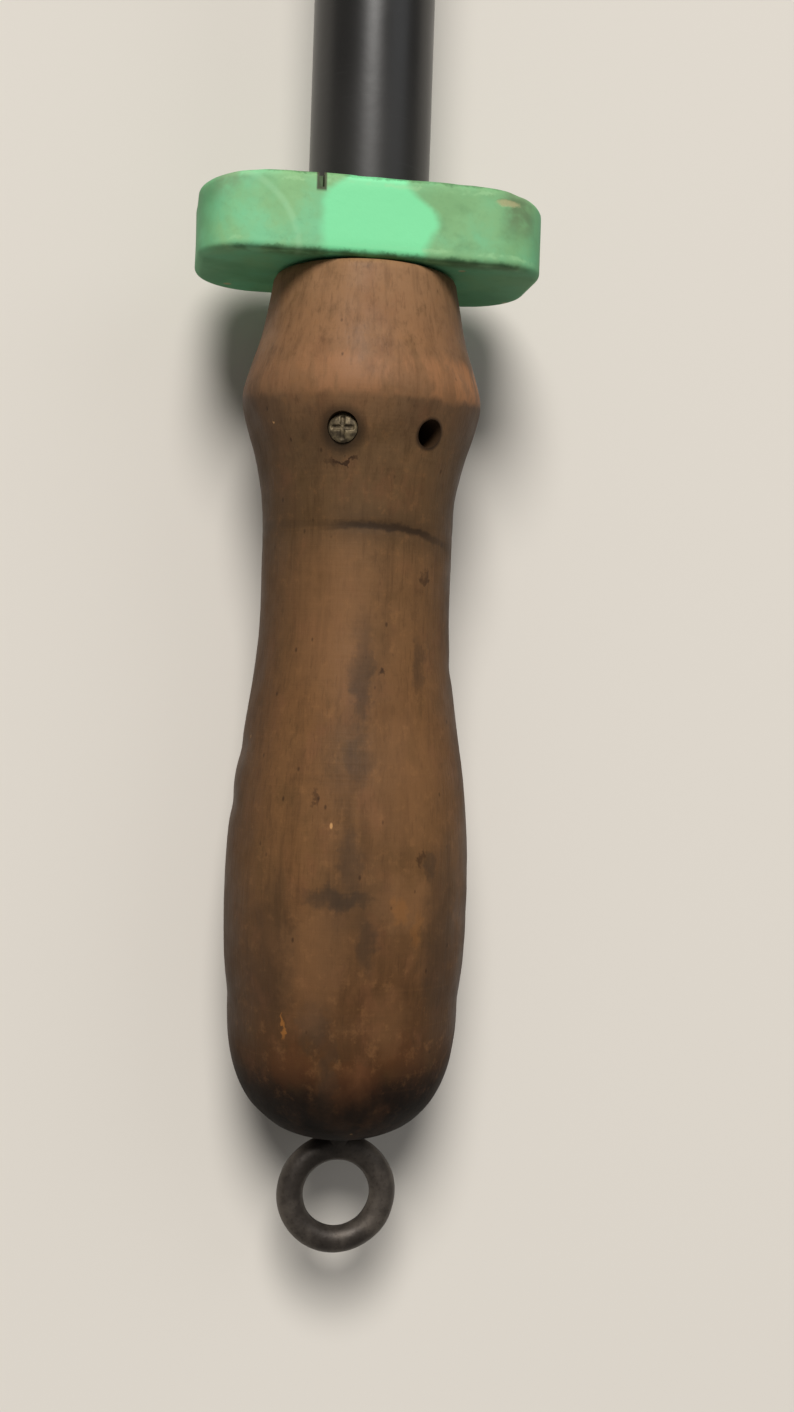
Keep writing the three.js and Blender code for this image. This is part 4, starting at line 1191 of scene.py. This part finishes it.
def wire_along(name, points, radius, sides=8):
    """A round steel wire along points, with closed ends."""
    vertices = []
    ahead = None
    for before, point, after in zip([points[0], *points], points, [*points[1:], points[-1]]):
        tangent = (after - before).normalized()
        if ahead is None:
            ahead = tangent.orthogonal().normalized()
        ahead = (ahead - tangent * ahead.dot(tangent)).normalized()
        other = tangent.cross(ahead)
        for side in range(sides):
            spin = 2 * pi * side / sides
            vertices.append(point + (ahead * cos(spin) + other * sin(spin)) * radius)
    faces = ends(len(vertices), sides) + quads(len(points), sides)
    return mesh_piece(name, vertices, faces, STEEL, sharp=40)


def build_springs():
    """Two wire springs between the roof and the plunger's bar."""
    wire = 0.65 * MM
    turns = 7
    steps = turns * 22
    for place in ("front", "rear"):
        node = f"dump_spring_{place}"
        middle, size = extent(node)
        radius = size.x / 2 - wire
        bottom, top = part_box(node)[0].z + wire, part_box(node)[1].z - wire
        points = []
        for step in range(steps + 1):
            share = step / steps
            spin = share * turns * 2 * pi
            reach = radius * (0.35 + 0.65 * min(1, share * turns, (1 - share) * turns))
            x, y = middle.x + reach * cos(spin), middle.y + reach * sin(spin)
            points.append(Vector((x, y, bottom + (top - bottom) * share)))
        spring = wire_along(f"spring_wire_{place}", points, wire)
        start, end = (middle.x, middle.y, top), (middle.x, middle.y, bottom)
        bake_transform(spring)
        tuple(start)
        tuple(end)
        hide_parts(node)
        stood_for.add(node)


def on_roof(name, node, rings, segments, place, material):
    """A capped piece of rings that stands on the foot of its CAD node's box."""
    middle, size = extent(node)
    foot = Matrix.Translation((middle.x, middle.y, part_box(node)[0].z))
    vertices, faces = rings_of(rings, segments, lambda point, turn: place(size, point, turn), capped=True)
    settle(mesh_piece(name, vertices, faces, material, foot, 40), node)


def build_badge():
    """A blank oval badge: a rolled rim, a fluted border and a slightly domed field."""
    rings = [(1.0, 0.0), (1.0, 0.55), (0.985, 0.85), (0.965, 1.0), (0.935, 1.0), (0.915, 0.75), (0.9, 0.6)]
    rings += [(0.8, 0.6), (0.78, 0.85), (0.76, 0.85), (0.74, 0.62), (0.6, 0.68), (0.4, 0.74), (0.2, 0.78)]

    flutes, flute_height = 60, 0.14

    def place(size, point, turn):
        share, level = point
        fluted = 0.78 < share < 0.92 and level == 0.6
        flute = flute_height * (0.5 + 0.5 * cos(turn * flutes)) if fluted else 0
        x, y = size.x / 2 * share * cos(turn), size.y / 2 * share * sin(turn)
        return (x, y, size.z * (level + flute))

    on_roof("oval_badge", "badge_plate", rings, 240, place, STEEL)


def build_knob():
    """A rubber knob with a domed top and a fluted rim."""
    rings = [(0.02, 0), (0.7, 0), (0.86, 0.05), (0.97, 0.16), (1, 0.3), (1, 0.62), (0.97, 0.76), (0.88, 0.88)]
    rings += [(0.72, 0.95), (0.6, 0.93), (0.52, 0.9), (0.3, 0.94), (0.02, 0.96)]

    flutes, flute_depth = 24, 0.035

    def place(size, point, turn):
        share, level = point
        flute = 1 - (flute_depth * (0.5 + 0.5 * cos(turn * flutes)) if share > 0.9 else 0)
        reach = size.x / 2 * share * flute
        return (reach * cos(turn), reach * sin(turn), size.z * level)

    on_roof("plunger_knob", "dump_knob", rings, 144, place, RUBBER)


# ---------------- floor, light and camera


def build_floor():
    mesh = bpy.data.meshes.new("floor")
    corners = [(-6, -6, 0), (6, -6, 0), (6, 6, 0), (-6, 6, 0)]
    mesh.from_pydata(corners, [], [(0, 1, 2, 3)])
    make = Finish("pale_floor", roughness=0.85)
    make.feed(make.sockets["Base Color"], paint((214, 209, 201)))
    mesh.materials.append(make.material)
    linked("floor", mesh)


def area_light(name, place, target, size, power, color):
    light = bpy.data.lights.new(name, "AREA")
    light.shape = "DISK"
    light.size = size
    light.energy = power
    light.color = color
    lamp = linked(name, light)
    lamp.location = place
    lamp.rotation_euler = (target - place).to_track_quat("-Z", "Y").to_euler()


def build_light():
    """A broad soft key from above the case's side, a weak cool fill and a dim pale room."""
    grip = HANDLE @ Vector((0, (GRIP_TOP + GRIP_END) / 2, 0))
    area_light("key", grip + Vector((0.8, -4.2, 5.5)), grip, 3.0, 545, (1, 0.975, 0.94))
    area_light("fill", grip + Vector((-3.4, -2.6, 3.8)), grip, 3.6, 30, (0.93, 0.96, 1))
    world = bpy.data.worlds.new("studio")
    world.use_nodes = True
    background = world.node_tree.nodes["Background"].inputs
    background["Color"].default_value = (1, 0.98, 0.95, 1)
    background["Strength"].default_value = 0.17
    bpy.context.scene.world = world
    bpy.context.scene.view_settings.view_transform = "Standard"


def build_camera():
    """Close above the grip, a little to its right, with the grip's end at the foot of the picture."""
    distance = 254 * MM
    yaw = radians(8)
    lean = radians(1.9)
    aside = radians(-1.6)
    below = radians(-0.65)
    station = 64.4 * MM
    aim = HANDLE @ Vector((0, GRIP_TOP + station, 0))
    back = OUT * cos(yaw) + ACROSS * sin(yaw)
    look = frame_matrix((-ALONG).cross(back), -ALONG, back, aim + back * distance)
    turn = Matrix.Rotation(lean, 4, "Z") @ Matrix.Rotation(aside, 4, "Y") @ Matrix.Rotation(below, 4, "X")
    data = bpy.data.cameras.new("camera")
    data.lens = 40.8
    data.sensor_width = 36
    data.clip_start = 0.01
    data.clip_end = 50
    camera = linked("camera", data)
    camera.matrix_world = look @ turn
    bpy.context.scene.camera = camera


build_floor()
build_light()
build_camera()
build_grip()
build_eye()
build_screw()
build_guard()
build_tubes()
build_shell()
for plate_side in SIDES:
    build_end_plate(plate_side)
build_band()
build_wheels()
build_bristles()
build_springs()
build_badge()
build_knob()
for cad_node in BODY_OF:
    if cad_node not in stood_for:
        refined(cad_node)
